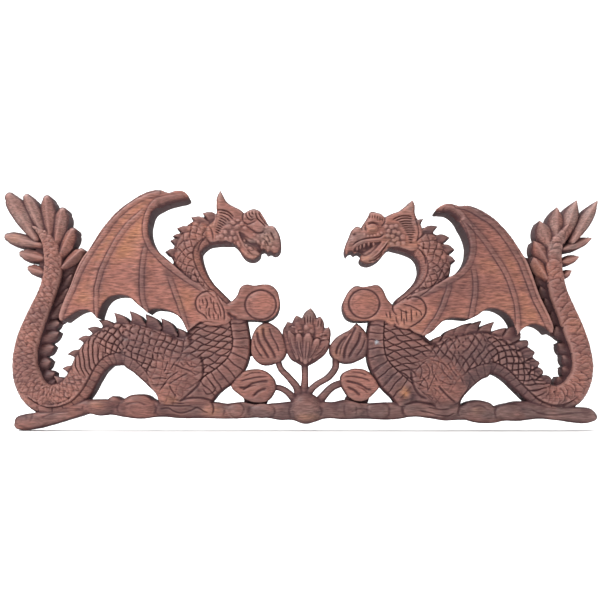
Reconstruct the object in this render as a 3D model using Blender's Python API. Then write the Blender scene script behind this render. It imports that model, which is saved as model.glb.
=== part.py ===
# Carved wooden wall panel: two dragons facing each other over a lotus, pierced relief on a wavy strip.
# The panel is drawn lying on its back, relief heights up, and stood upright as the last step.
import itertools
import math

import bmesh
import bpy
import numpy as np
from mathutils import Matrix

# Driving dimensions in metres.
PANEL_LENGTH = 0.500
PANEL_DEPTH = 0.025
VIEW_DISTANCE = 0.63
BACK_MARGIN = 0.004

# The outlines are drawn in perspective on a 600 x 600 sheet, x to the right and y down. The panel's ends stand
# behind its front plane, so at the scale of the front plane its length takes a few squares more than it covers.
DRAWN_LENGTH = 602.0
SQUARE = PANEL_LENGTH / DRAWN_LENGTH
VIEW_POINT = (300.0, 395.0)
ORIGIN_POINT = (302.0, 345.0)

# Heights of the relief above the flat back.
WING_TOP = 0.0236
RIB_TOP = PANEL_DEPTH
DISC_TOP = 0.0240
PAW_TOP = 0.0222
ARM_TOP = 0.0238
HEAD_TOP = 0.0205
NECK_TOP = 0.0207
BODY_TOP = 0.0203
THIGH_TOP = 0.0225
TAIL_TOP = 0.0190
FAN_TOP = 0.0190
SPINE_TOP = 0.0150
HIDDEN_TOP = 0.0120
WEB_TOP = 0.0070
LOTUS_TOP = 0.0180
PETAL_TOP = 0.0215
LEAF_TOP = 0.0190
STEM_TOP = 0.0155
BASE_TOP = 0.0185
MOUTH_FLOOR = 0.0135

# Cross-sections of a lofted strand: place across the half width, rise from shoulder to crown.
ROUND = [(-1.0, 0.0), (-0.72, 0.66), (0.0, 1.0), (0.72, 0.66), (1.0, 0.0)]
RIDGE = [(-1.0, 0.0), (0.0, 1.0), (1.0, 0.0)]

# Widths of a leaf from root to tip: place along the leaf, share of the half width.
BLUNT_LEAF = [(0.0, 0.50), (0.30, 0.85), (0.60, 1.0), (0.84, 0.80), (0.96, 0.42), (1.0, 0.12)]
POINTED_LEAF = [(0.0, 0.50), (0.30, 0.86), (0.55, 1.0), (0.80, 0.70), (1.0, 0.10)]
SHORT_LEAF = [(0.0, 0.75), (0.5, 1.0), (1.0, 0.15)]

# Every solid gets an underside of its own below the back plane, so that no two of them coincide.
undersides = itertools.count()

# A third value of 1 marks a sharp corner of an outline; along a strand it is the half width.
LEFT = {
    "wing": [(189, 196), (187, 193), (183, 190.5), (176, 190), (168, 192), (160, 189.5), (150, 190.5),
             (141, 194), (130, 200.8), (117.5, 210.3), (108.2, 220.3), (99.3, 231.8), (89.3, 247.5), (81.3, 258.5),
             (75.3, 270.7), (70, 284.7), (64, 298.7), (59.3, 311), (58.3, 318), (61, 320.5), (68, 316.5), (76, 311.5),
             (83, 309.5), (90, 311.5), (97, 318.5, 1), (100, 309), (104, 301), (111, 296), (120, 294.5),
             (128, 296.5), (137, 304), (147, 312.5, 1), (152, 309), (160, 308.5), (170, 311), (179, 317),
             (187, 331, 1), (196, 324), (208, 316), (214, 304), (207, 289), (190, 279), (178, 269),
             (168, 259.5), (158, 251), (151, 241), (148, 230), (149, 219), (152.5, 210.5), (160, 205.5),
             (168, 202), (178, 199.5), (185.5, 197.5)],
    "ribs": [[(158, 193), (140, 199), (120, 214), (103, 235), (90, 254), (80, 271), (73, 288), (66, 304), (62, 316)],
             [(150, 206), (136, 217), (122, 232), (112, 248), (104, 264), (98.5, 280), (96, 295), (97, 312)],
             [(147.5, 240), (144, 254), (142, 268), (141.5, 284), (142.5, 298), (146, 309)],
             [(168, 272), (172, 284), (177, 298), (182, 312), (186, 325)]],
    "arm_bone": [(180, 196), (168, 198), (156, 202), (149, 212), (146, 223), (146.5, 236), (151, 247), (159, 256),
                 (171, 267), (185, 277), (204, 289)],
    "tail": [(49, 240, 8), (53, 252, 9.5), (54, 265, 9.5), (52, 280, 9.5), (46, 297, 9.5), (39, 313, 10.5),
             (32, 330, 11.5), (27, 346, 12), (25.5, 362, 13), (28, 378, 14.5), (36.5, 393.5, 15.3), (51, 400.5, 16),
             (67, 396.5, 16.5), (77.5, 387, 16), (84.5, 375, 15.8), (92, 361, 17), (103, 349.5, 19),
             (120, 343.5, 21.8), (140, 345.5, 21.8), (158, 352, 20)],
    "fan_shape": BLUNT_LEAF,
    "fan": [((36, 238), (9, 196), 8.8), ((46, 240), (26.5, 196.5), 7.3), ((51, 240), (47, 198), 7.6),
            ((56, 248), (63, 210.5), 8.0), ((60, 258), (73.5, 230.5), 7.2), ((63, 268), (82, 251), 6.0),
            ((43, 245.5), (7, 237), 6.8), ((46, 259), (22, 254), 6.2), ((47, 274), (30, 268.5), 5.4)],
    "hidden": [((63, 278), (79.75, 260), 6.5), ((60, 291), (72.75, 275), 6.0), ((57, 304), (68.75, 289), 6.0),
               ((53, 316), (63, 304), 6.0), ((46, 326), (60, 323), 6.5), ((41, 339), (59.5, 333), 7.3),
               ((38, 351), (54.5, 347), 7.3), ((38, 365), (51.5, 361.5), 7.3), ((44, 379), (55.5, 373), 6.5)],
    "web": [(64, 250), (86, 252), (80, 268), (70, 294), (62, 316), (54, 328), (46, 328), (50, 310), (56, 290),
            (60, 270)],
    "torso": [(122, 326.5), (150, 327.5), (168, 333), (184, 336.5), (192, 327), (215, 318), (246, 318, 1), (249, 332),
              (250, 346), (248, 360), (242, 373), (232, 383), (220, 392), (213, 400), (207, 408, 1), (158, 408, 1),
              (156, 396), (147, 386), (133, 373), (122, 364)],
    "thigh": [(160, 356), (184, 352), (200, 359), (203, 371), (199, 385), (189, 397), (175, 404), (160, 403),
              (156, 394), (150, 386), (148, 370)],
    "foot": [(155, 413), (157, 405), (165, 400.5), (185, 401), (206, 400.5), (213, 406), (213, 413), (200, 416),
             (170, 415)],
    "toes": [(172, 410), (186, 411), (200, 410)],
    "neck": [(224, 308, 10), (214, 299.5, 11), (204, 290, 11.7), (194.5, 277, 13), (188, 262, 14.3),
             (188, 249, 14), (194, 239, 14.5), (204, 232, 14.5), (216, 229.8, 14.5), (230, 231, 13)],
    "head": [(220, 189.5, 1), (223, 195), (227, 201.5), (233, 205.5), (240, 209), (244, 212.5, 1), (248, 210),
             (254, 208.5), (259.5, 210.5), (263, 215.5), (266, 220.5), (269, 225.5, 1), (273, 225.5),
             (277, 229.5), (280, 236), (281, 243), (280.3, 248.5), (277.5, 252.3), (274, 253.3), (270.5, 251.3),
             (267.5, 252.5), (264, 249.3), (260.5, 250.3, 1), (260, 254), (257, 257.5), (252, 259.3), (246, 257.8),
             (241, 253), (237, 246.5), (231, 242), (220, 240), (210, 241), (204, 236), (206, 226), (212, 221),
             (216, 213), (216, 205), (216.5, 197)],
    "mouth": [(239.5, 229.5), (245, 232.5), (250, 239), (257, 241.5), (262, 247), (261, 251.5), (256, 252),
              (249, 247), (243, 240.5)],
    "brow": [(244, 217, 1.6), (250, 214.5, 2.4), (257, 215, 2.6), (262, 219, 2.0), (266, 224, 1.2)],
    "eye": (257.5, 225.5, 4.6, 3.2),
    "nose": [(266, 229, 1.6), (271, 231, 2.6), (275, 238, 3.0), (276.5, 247, 2.4), (276, 254, 1.4)],
    "ear": [(218, 209, 221, 217), (222, 211, 220, 219), (226, 213, 221, 222), (230, 216, 221, 226),
            (232, 221, 220, 230), (231, 227, 218, 234)],
    "paw": [(228, 305), (236, 296), (241, 286), (246, 284), (254, 285), (262, 284), (270, 284.5),
            (276.5, 289.5), (279.5, 298), (279, 308), (274.5, 316), (267, 320), (256, 320), (244, 319.5),
            (232, 319)],
    "disc": (261, 302.5, 14.5),
    "arm": [(196, 297), (202, 290.5), (211, 290), (219, 297), (226, 309), (230, 320), (218, 325), (203, 323),
            (196, 312)],
    "spines": [((60, 386), (53, 376), 5.4), ((71, 373), (61.5, 368.5), 5.4), ((80, 358), (66.5, 354.2), 6.0),
               ((89, 344), (76.8, 339), 6.0), ((97, 335), (86.5, 328.5), 6.0), ((107, 329), (98, 320), 6.0),
               ((120, 327), (113.5, 312.3), 7.8), ((135, 326), (129, 310.5), 7.8), ((150, 328), (145, 313.5), 8.4),
               ((166, 335), (160.5, 317.5), 8.4), ((182, 342), (177, 327.5), 7.2)],
    "crest": [((175, 256), (164.3, 252), 5.8), ((178, 245), (169.5, 240.5), 4.8), ((182, 239), (172, 236), 3.6),
              ((188, 235), (176, 228), 5.8), ((201, 226), (190.5, 217), 6.2), ((212, 221), (202, 212.8), 6.2)],
}
RIGHT = {
    "wing": [(437, 209), (439, 206.5), (443, 204.3), (450, 203), (456, 204.5), (460, 205.8), (466, 205),
             (474, 206.5), (483, 210.5), (492.5, 216.5), (502, 225.5), (510.5, 235), (519, 247.5), (527, 259.5),
             (532, 271.5), (536.5, 284.5), (541.5, 297.5), (547, 309), (551.5, 319), (554, 330), (552, 333),
             (546, 328.5), (541, 325.5), (535, 324), (529, 325.5), (523, 329), (518, 334.5, 1), (515.5, 326),
             (512, 319), (507, 313.5), (500, 309.5), (491, 308), (485, 310), (478, 315), (470, 318.5),
             (462, 318), (453, 317.5), (445, 320), (438, 326), (432, 332), (424, 335.5, 1), (412, 330),
             (404, 318), (406, 303), (414, 293.5), (425, 289), (436, 284.5), (447, 278), (457, 272.5),
             (464, 265.5), (468.5, 256), (469.5, 246), (467.5, 236), (463, 227), (457, 217), (449, 211),
             (442, 210)],
    "ribs": [[(468, 209), (480, 214.5), (493, 223.5), (504, 235.5), (513, 248.5), (521, 262), (527, 278), (533, 294),
              (541, 311), (549, 327)],
             [(462, 216), (474, 228), (486, 242), (497, 258), (506, 273), (512, 288), (516.5, 304), (518, 322)],
             [(472, 262), (475, 275), (476, 288), (474.5, 301), (472, 314)],
             [(450, 278), (448.5, 290), (444, 303), (438, 316), (430, 328)]],
    "arm_bone": [(448, 208), (456, 210), (464, 218), (470, 230), (473, 244), (471, 259), (465, 269), (455, 277),
                 (442, 284.5), (428, 291), (414, 297)],
    "tail": [(553, 246, 8.5), (553, 262, 8.5), (554.5, 278, 9), (558, 294, 9.5), (565, 311, 10), (571, 325, 10.5),
             (577, 340, 10.5), (581, 355, 10.5), (582, 368, 11), (578.5, 382, 12.5), (570, 393.5, 13.5),
             (556, 399, 13.8), (541, 394.5, 14.2), (526, 380.5, 14.8), (513.5, 366, 17), (501, 356.5, 19.8),
             (487, 352, 21.5), (470, 352, 21.5), (455, 354.5, 19)],
    "fan_shape": POINTED_LEAF,
    "fan": [((572, 241), (596, 202), 6.8), ((561, 241), (575.5, 201.5), 8.4), ((555, 243), (556, 208.5), 8.2),
            ((550, 250), (538.5, 222), 8.4), ((547, 264), (533, 242), 7.6), ((546, 279), (532, 258), 6.6),
            ((560, 250), (590.5, 238.8), 5.6), ((558, 263), (578, 257.3), 5.0), ((558, 278), (570.5, 271), 4.4)],
    "hidden": [((550, 289), (535.25, 275), 6.5), ((552, 300), (539.25, 287), 6.5), ((556, 312), (544.25, 299), 6.5),
               ((561, 324), (551, 312), 6.5), ((567, 338), (555, 327), 7.2), ((571, 352), (557.5, 344), 7.8),
               ((573, 363), (561.5, 356), 7.2), ((572, 373), (561.5, 368), 7.2), ((562, 386), (557, 377), 6.5)],
    "web": [(528, 258), (546, 262), (550, 280), (553, 295), (561, 312), (569, 332), (563, 342), (556, 338),
            (551, 330), (544, 316), (535, 290)],
    "torso": [(488, 333), (470, 331.5), (448, 336), (436, 341.5), (424, 336), (400, 328), (386, 320), (370, 319, 1),
              (367.5, 335), (367, 352), (369.5, 366), (376, 379), (384, 390), (393, 399), (399, 408, 1),
              (461, 408, 1), (463, 400), (472, 389), (483, 379.5), (491, 375)],
    "thigh": [(450, 358), (430, 354), (415, 362), (411.5, 374), (414, 387), (421, 397), (436, 404), (457, 403),
              (462, 396), (468, 387), (468, 372)],
    "foot": [(403, 413), (405, 406), (412, 401), (430, 402), (448, 400), (458, 404), (460, 412), (453, 417),
             (425, 416)],
    "toes": [(416, 410), (430, 410), (444, 410)],
    "neck": [(402, 304.5, 8), (412.5, 299, 10.5), (425, 289.5, 13), (433, 277, 15), (434.5, 263, 16.3),
             (430, 252, 16), (421, 243.5, 15.2), (408, 239.5, 13.5), (394, 237, 12)],
    "head": [(413, 199.5, 1), (415.3, 205), (415.2, 212), (417, 217), (420, 222), (424, 232), (423, 244),
             (416, 250), (405, 248), (397, 246), (390, 247.5), (386, 251), (382, 256), (377, 260.5), (371, 263.3),
             (365, 263.3), (361, 261), (360, 257.5), (362, 254, 1), (358, 251.5), (354.5, 253), (352, 251),
             (349.5, 251.5), (346.5, 254.8, 1), (344.5, 250), (345.3, 245), (347.8, 239), (350, 233),
             (353, 228.5), (357, 226), (361, 227, 1), (364.5, 221.5), (368, 216), (370.5, 211.5), (377, 212),
             (381.5, 213.5), (385, 216.5, 1), (392, 213), (399, 210.5), (405, 206), (410, 201.5)],
    "mouth": [(352, 253), (356, 247.5), (363, 243.5), (372, 241), (381, 241), (384, 243.5), (381, 248.5),
              (375, 253), (368, 255), (361, 256)],
    "brow": [(365, 228, 1.4), (367, 223, 2.4), (372, 220, 2.6), (378, 221.5, 2.4), (383, 227, 1.4)],
    "eye": (372, 229, 5.0, 4.0),
    "nose": [(362, 232, 1.6), (357, 232, 2.6), (353, 238, 3.0), (350, 246, 2.6), (348, 253, 1.4)],
    "ear": [(416, 221, 401, 218), (419, 226, 401, 223), (421, 231, 401, 228), (422, 236, 401, 233),
            (421, 242, 402, 238), (418, 247, 403, 243)],
    "paw": [(395, 308), (388, 299), (382, 287.5), (377, 284.5), (370, 285.5), (363, 286.5), (356, 285.5),
            (350, 289.5), (345, 297), (342.5, 305), (344.5, 314), (350, 319.5), (360, 321), (372, 320.5),
            (384, 321), (394, 326)],
    "disc": (364.5, 303, 14.5),
    "arm": [(392, 309), (400, 302), (411, 298), (421, 301), (426.5, 310), (423, 320), (414, 327), (402, 328),
            (394, 321)],
    "spines": [((430, 348), (424, 338), 4.8), ((444, 347), (437, 336), 7.2), ((457, 342), (449, 329), 8.4),
               ((468, 339), (463, 324), 8.4), ((479, 338), (476, 321.3), 7.8), ((487, 338), (484, 320), 7.2),
               ((497, 341), (494.5, 321.3), 7.2), ((509, 345), (507, 327.5), 7.2), ((518, 352), (528.5, 340.5), 6.0),
               ((524, 361), (534.5, 350.5), 6.0), ((530, 370), (539.5, 361.5), 6.0), ((535, 379), (543.5, 372), 6.0),
               ((546, 388), (550.5, 377), 5.4)],
    "crest": [((416, 231), (424, 218.3), 6.2), ((427, 237), (438.5, 225.8), 6.7), ((438, 243), (450.5, 237.5), 6.2),
              ((444, 252), (455.3, 249.7), 6.2), ((445, 262), (456.3, 261), 5.8)],
}
LOTUS = [(309.5, 309.5), (314, 313), (316, 318, 1), (320, 316.8), (322.5, 321), (325, 328, 1), (329.5, 328),
         (330.5, 336), (330, 344), (327, 352), (320, 358.5), (312, 363.5), (304, 366), (297, 362.5), (290, 358),
         (286, 350), (284, 340), (282.5, 331), (285.5, 325), (289, 322), (292, 323, 1), (294, 319),
         (298, 316.3), (302, 317.8, 1), (305, 312)]
# Lotus petals: root, tip, half width and height, from the back tier to the front one.
PETALS = [((308, 330), (309.5, 311), 5.5, 0.0190), ((300, 332), (297, 318.5), 5.0, 0.0190),
          ((316, 332), (320, 318.5), 5.0, 0.0190), ((293, 345), (288.5, 325), 4.6, 0.0195),
          ((322, 346), (327, 330), 4.2, 0.0195), ((303, 350), (303, 325), 5.4, 0.0205),
          ((312, 350), (313, 325), 5.0, 0.0205), ((292.5, 361), (291.5, 338), 4.2, 0.0208),
          ((322, 360), (324, 341), 4.2, 0.0208), ((300, 364.5), (299, 335), 4.8, PETAL_TOP),
          ((307.5, 365), (308, 335), 4.6, PETAL_TOP), ((315, 363), (316.5, 337), 4.4, PETAL_TOP)]
LEAVES = {
    "upper_left": [(267, 322), (274, 325), (280.5, 331), (284.5, 341), (286.5, 352), (283, 359), (275, 363),
                   (265, 365), (256, 361.5), (251.5, 354), (251, 344), (253, 333), (259, 325)],
    "lower_left": [(230.5, 385.5, 1), (236, 377), (244, 371), (253, 369), (263, 370), (271, 375), (275.5, 383),
                   (273.5, 394), (267, 401), (257, 402.5), (247, 400), (238, 394), (232.5, 389.5)],
    "upper_right": [(356.5, 322.5, 1), (350, 329), (341, 334), (333, 340.5), (329.5, 348), (331, 355), (338, 360.5),
                    (347, 363.5), (358, 361), (366, 356), (369, 346), (367.5, 335), (362, 327)],
    "lower_right": [(380, 387, 1), (375, 378), (368, 371), (358, 368.3), (348, 370), (341.5, 375), (341, 382),
                    (344.5, 391), (351, 398.5), (358, 401.3), (367, 399.5), (375, 393)],
}
# Carved veins: strokes across each leaf.
VEINS = [[(262, 329), (261, 342), (265, 358)], [(268, 327), (269, 342), (270, 359)], [(256, 337), (257, 348), (261, 357)],
         [(275, 331), (277, 344), (275, 357)], [(239, 382), (252, 379), (268, 382)], [(238, 388), (252, 387), (268, 387)],
         [(243, 376), (254, 374), (266, 377)], [(243, 393), (254, 395), (266, 392)], [(356, 330), (350, 342), (347, 358)],
         [(349, 335), (342, 345), (340, 355)], [(362, 335), (358, 346), (355, 358)], [(350, 375), (361, 380), (374, 387)],
         [(348, 382), (359, 388), (370, 391)], [(355, 371.5), (365, 375), (373, 381)], [(352, 390), (358, 394), (365, 396)]]
STEMS = [[(304.5, 362, 3.6), (305, 377, 3.4), (304, 398, 4.5)],
         [(277, 358, 3.2), (281, 369, 3.2), (289.5, 378, 3.4), (297, 388, 4), (300, 400, 5)],
         [(271, 387, 3), (280, 388, 3), (288, 392.5, 3.4), (298, 403, 5)],
         [(336, 358, 3.2), (335.5, 368, 3.4), (328, 377.5, 3.4), (318, 383.5, 3.2), (310, 391, 3.6), (306, 401, 5)],
         [(345, 382.5, 3.8), (334, 386, 3.8), (326.5, 392.5, 3.8), (317, 404, 5)]]
KNOB = (306, 408.5, 15.5)
BASE = [(13.3, 423), (15, 417.5), (22, 414.5), (31, 413), (50, 410), (85, 400), (97, 399), (106, 399.5),
        (112, 396), (117, 397), (121, 399), (129, 395.5), (138, 394), (147, 395.5), (153, 399.5), (165, 402),
        (214, 402), (225, 403.5), (240, 402), (255, 404.3), (275, 403), (290, 401.5), (320, 401.5),
        (335, 401.8), (345, 399.8), (352, 401), (362, 403.3), (385, 402.3), (400, 402.5), (457, 403),
        (463, 405.3), (470, 402.5), (476, 400), (485, 401), (491, 403), (496, 406.5), (503, 404.8),
        (513, 402.5), (522, 401), (550, 405), (577, 407), (590, 408), (596, 412), (598.5, 418), (596, 421),
        (560, 420.8), (540, 419), (530, 420), (518, 421.3), (505, 421), (495, 423), (480, 423.3),
        (468, 420.5), (457, 420.3), (445, 420.8), (430, 418.5), (412, 417), (400, 419), (385, 420),
        (365, 419), (345, 419.5), (325, 419), (314, 422.5), (305, 423.5), (297, 421.5), (289, 420),
        (282, 420.5), (265, 418), (245, 418.5), (225, 419), (205, 418.5), (180, 418.5), (160, 417),
        (140, 419), (125, 417.5), (110, 415), (100, 416), (87, 414), (75, 417.5), (60, 422), (45, 426.5),
        (30, 430), (18, 430), (13.8, 427.5)]
# Rounded swellings on the strip: centre, half width, half height.
SWELLINGS = [(99, 407, 15, 8), (137, 406, 16, 11), (236, 411, 11, 8), (262, 411, 12, 7.5), (350, 410, 14, 8.5),
             (378, 411, 13, 8), (478, 411, 17, 10.5), (510, 412, 14, 8), (30, 421, 15, 7)]


def place(x, y, height):
    """Metres on the lying panel for a point of the drawing that stands at this height."""
    reach = (VIEW_DISTANCE + PANEL_DEPTH - height) / VIEW_DISTANCE
    across = VIEW_POINT[0] + (x - VIEW_POINT[0]) * reach - ORIGIN_POINT[0]
    down = VIEW_POINT[1] + (y - VIEW_POINT[1]) * reach - ORIGIN_POINT[1]
    return across * SQUARE, -down * SQUARE


def next_underside():
    """Height of the next solid's underside, below the back plane."""
    return -BACK_MARGIN - 0.00003 * next(undersides)


def smooth_path(rows, steps):
    """Rows of numbers with steps - 1 new rows between each pair, on a smooth curve through all of them."""
    rows = np.array(rows, dtype=float)
    padded = np.vstack([2 * rows[0] - rows[1], rows, 2 * rows[-1] - rows[-2]])
    path = []
    for i in range(1, len(padded) - 2):
        a, b, c, d = padded[i - 1:i + 3]
        for step in range(steps):
            t = step / steps
            path.append(0.5 * (2 * b + (c - a) * t + (2 * a - 5 * b + 4 * c - d) * t ** 2
                               + (3 * b - a - 3 * c + d) * t ** 3))
    path.append(rows[-1])
    return np.array(path)


def solid_from(work, name, collection):
    """Link a finished bmesh as a closed object."""
    bmesh.ops.remove_doubles(work, verts=work.verts, dist=0.00001)
    bmesh.ops.recalc_face_normals(work, faces=work.faces)
    mesh = bpy.data.meshes.new(name)
    work.to_mesh(mesh)
    work.free()
    solid = bpy.data.objects.new(name, mesh)
    collection.objects.link(solid)
    return solid


def plate(name, outline, top, edge, collection, resolution=2, rounding=0):
    """A flat shape with this outline, its front edge rounded by edge metres."""
    data = bpy.data.curves.new(name, 'CURVE')
    data.dimensions = '2D'
    data.fill_mode = 'BOTH'
    data.resolution_u = resolution
    spline = data.splines.new('BEZIER')
    spline.bezier_points.add(len(outline) - 1)
    spline.use_cyclic_u = True
    for bezier, point in zip(spline.bezier_points, outline):
        across, up = place(point[0], point[1], top)
        handle = 'VECTOR' if len(point) > 2 else 'AUTO'
        bezier.handle_left_type = handle
        bezier.handle_right_type = handle
        bezier.co = (across, up, 0.0)
    data.bevel_depth = edge
    data.bevel_resolution = rounding
    data.offset = -edge
    half_depth = (top - next_underside() + edge) / 2
    data.extrude = half_depth - edge
    drawn = bpy.data.objects.new(name + "_outline", data)
    collection.objects.link(drawn)
    bpy.context.view_layer.update()
    mesh = bpy.data.meshes.new_from_object(drawn.evaluated_get(bpy.context.evaluated_depsgraph_get()))
    bpy.data.objects.remove(drawn)
    work = bmesh.new()
    work.from_mesh(mesh)
    bmesh.ops.translate(work, verts=work.verts, vec=(0.0, 0.0, top - half_depth))
    return solid_from(work, name, collection)


def strand(name, rows, top, rise, collection, section=ROUND, steps=2):
    """Loft along a path of (x, y, half width), with upright sides and a crown that rises above them."""
    path = smooth_path(rows, steps)
    spots = np.array([place(x, y, top - rise) for x, y, _ in path])
    along = np.gradient(spots, axis=0)
    along /= np.linalg.norm(along, axis=1)[:, None]
    side = np.stack([-along[:, 1], along[:, 0]], axis=1)
    work = bmesh.new()
    rings = []
    floor = next_underside()
    for spot, across, width in zip(spots, side, path[:, 2] * SQUARE):
        ring = [(section[0][0], floor)] + [(s, top - rise + r * rise) for s, r in section] + [(section[-1][0], floor)]
        rings.append([work.verts.new((*(spot + across * s * width), height)) for s, height in ring])
    for first, second in zip(rings, rings[1:]):
        for i in range(len(first)):
            j = (i + 1) % len(first)
            work.faces.new((first[i], first[j], second[j], second[i]))
    work.faces.new(rings[0])
    work.faces.new(rings[-1])
    return solid_from(work, name, collection)


def leaf(name, root, tip, half_width, top, rise, shape, collection):
    """A ridged leaf from root to tip."""
    rows = [(root[0] + (tip[0] - root[0]) * s, root[1] + (tip[1] - root[1]) * s, half_width * w) for s, w in shape]
    return strand(name, rows, top, rise, collection, section=RIDGE, steps=1)


def dome(name, centre, half_width, half_height, foot, top, collection, segments=10, rings=6):
    """An egg-shaped swelling that stands from foot to top."""
    work = bmesh.new()
    bmesh.ops.create_uvsphere(work, u_segments=segments, v_segments=rings, radius=1.0)
    across, up = place(centre[0], centre[1], top)
    bmesh.ops.scale(work, verts=work.verts, vec=(half_width * SQUARE, half_height * SQUARE, top - foot))
    bmesh.ops.translate(work, verts=work.verts, vec=(across, up, foot))
    return solid_from(work, name, collection)


def groove(name, rows, surface, depth, cutters):
    """A V-shaped cut this deep below a surface, along a path of (x, y, half width)."""
    path = np.array(rows)
    spots = np.array([place(x, y, surface) for x, y, _ in path])
    along = np.gradient(spots, axis=0)
    along /= np.linalg.norm(along, axis=1)[:, None]
    side = np.stack([-along[:, 1], along[:, 0]], axis=1)
    work = bmesh.new()
    rings = []
    for spot, across, width in zip(spots, side, path[:, 2] * SQUARE):
        ring = ((0.0, surface - depth), (1.0, surface), (1.0, surface + 0.01), (-1.0, surface + 0.01), (-1.0, surface))
        rings.append([work.verts.new((*(spot + across * s * width), height)) for s, height in ring])
    for first, second in zip(rings, rings[1:]):
        for i in range(len(first)):
            j = (i + 1) % len(first)
            work.faces.new((first[i], first[j], second[j], second[i]))
    work.faces.new(rings[0])
    work.faces.new(rings[-1])
    return solid_from(work, name, cutters)


def dragon(side, shape, solids, cutters):
    """All solids and cuts of one dragon."""
    plate(side + "_web", shape["web"], WEB_TOP, 0.0005, solids, resolution=1)
    for i, (root, tip, width) in enumerate(shape["hidden"]):
        leaf(f"{side}_hidden_{i}", root, tip, width, HIDDEN_TOP, 0.0025, SHORT_LEAF, solids)
    for i, (root, tip, width) in enumerate(shape["fan"]):
        leaf(f"{side}_fan_{i}", root, tip, width, FAN_TOP - 0.0006 * i, 0.0045, shape["fan_shape"], solids)
    strand(side + "_tail", shape["tail"], TAIL_TOP, 0.006, solids, steps=2)
    for i, (root, tip, width) in enumerate(shape["spines"]):
        rows = [(*root, width), (*tip, 0.6)]
        strand(f"{side}_spine_{i}", rows, SPINE_TOP, 0.003, solids, section=RIDGE, steps=1)
    for i, (root, tip, width) in enumerate(shape["crest"]):
        rows = [(*root, width), (*tip, 0.6)]
        strand(f"{side}_crest_{i}", rows, SPINE_TOP, 0.003, solids, section=RIDGE, steps=1)
    plate(side + "_torso", shape["torso"], BODY_TOP, 0.0034, solids)
    plate(side + "_thigh", shape["thigh"], THIGH_TOP, 0.0026, solids)
    plate(side + "_foot", shape["foot"], BODY_TOP - 0.0003, 0.002, solids)
    for i, toe in enumerate(shape["toes"]):
        dome(f"{side}_toe_{i}", toe, 7.0, 4.6, 0.017, 0.0225, solids, segments=8, rings=4)
    strand(side + "_neck", shape["neck"], NECK_TOP, 0.007, solids, steps=2)
    plate(side + "_head", shape["head"], HEAD_TOP, 0.0013, solids, resolution=1)
    strand(side + "_brow", shape["brow"], HEAD_TOP + 0.0018, 0.0022, solids, steps=1)
    strand(side + "_nose", shape["nose"], HEAD_TOP + 0.0012, 0.0020, solids, steps=1)
    x, y, half_width, half_height = shape["eye"]
    dome(side + "_eye", (x, y), half_width, half_height, HEAD_TOP - 0.0005, HEAD_TOP + 0.0020, solids, 8, 6)
    for i, (x0, y0, x1, y1) in enumerate(shape["ear"]):
        rows = [(x0, y0, 1.6), (x1, y1, 0.6)]
        strand(f"{side}_ear_{i}", rows, HEAD_TOP + 0.0012, 0.0014, solids, section=RIDGE, steps=1)
    mouth = plate(side + "_mouth", shape["mouth"], HEAD_TOP + 0.006, 0.0006, cutters, resolution=1)
    for vertex in mouth.data.vertices:
        vertex.co.z = max(vertex.co.z, MOUTH_FLOOR)
    plate(side + "_paw", shape["paw"], PAW_TOP, 0.0018, solids, resolution=1)
    x, y, radius = shape["disc"]
    dome(side + "_disc", (x, y), radius, radius, PAW_TOP - 0.0025, DISC_TOP, solids, 18, 6)
    plate(side + "_wing", shape["wing"], WING_TOP, 0.0010, solids, resolution=1)
    for i, rib in enumerate(shape["ribs"]):
        rows = [(x, y, 2.2) for x, y in rib]
        strand(f"{side}_rib_{i}", rows, RIB_TOP - 0.0002 * i, 0.0013, solids, section=RIDGE, steps=1)
    rows = [(x, y, 3.0) for x, y in shape["arm_bone"]]
    strand(side + "_arm_bone", rows, RIB_TOP, 0.0016, solids, steps=1)
    plate(side + "_arm", shape["arm"], ARM_TOP, 0.0018, solids)


def boolean(target, operation, name, **operand):
    """One exact Boolean on the target, applied."""
    cut = target.modifiers.new(name, 'BOOLEAN')
    cut.operation = operation
    cut.solver = 'EXACT'
    if "collection" in operand:
        cut.operand_type = 'COLLECTION'
        cut.collection = operand["collection"]
    else:
        cut.object = operand["object"]
    bpy.context.view_layer.update()
    evaluated = target.evaluated_get(bpy.context.evaluated_depsgraph_get())
    mesh = bpy.data.meshes.new_from_object(evaluated)
    target.modifiers.remove(cut)
    target.data = mesh


def wood_material():
    """Oiled reddish-brown hardwood."""
    material = bpy.data.materials.new("carved_wood")
    material.use_nodes = True
    shader = material.node_tree.nodes["Principled BSDF"]
    shader.inputs["Base Color"].default_value = (0.235, 0.120, 0.100, 1.0)
    shader.inputs["Roughness"].default_value = 0.5
    return material


for item in list(bpy.data.objects):
    bpy.data.objects.remove(item)
panel_collection = bpy.data.collections.new("dragon_lotus_panel")
solids = bpy.data.collections.new("relief_solids")
cutters = bpy.data.collections.new("cutters")
for collection in (panel_collection, solids, cutters):
    bpy.context.scene.collection.children.link(collection)

dragon("left", LEFT, solids, cutters)
dragon("right", RIGHT, solids, cutters)
plate("lotus", LOTUS, LOTUS_TOP, 0.0015, solids, resolution=1)
for i, (root, tip, width, top) in enumerate(PETALS):
    leaf(f"petal_{i}", root, tip, width, top, 0.0025, POINTED_LEAF, solids)
for name, outline in LEAVES.items():
    plate("leaf_" + name, outline, LEAF_TOP, 0.0022, solids)
for i, stem in enumerate(STEMS):
    strand(f"stem_{i}", stem, STEM_TOP, 0.0025, solids, steps=2)
dome("knob", KNOB[:2], KNOB[2], KNOB[2], 0.0095, 0.0225, solids, 16, 10)
for i, (x, y, half_width, half_height) in enumerate(SWELLINGS):
    dome(f"swelling_{i}", (x, y), half_width, half_height, 0.0150, 0.0205, solids)
for i, vein in enumerate(VEINS):
    rows = [(*vein[0], 0.3), (*vein[1], 1.2), (*vein[2], 0.3)]
    groove(f"vein_{i}", rows, LEAF_TOP, 0.0012, cutters)

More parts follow.
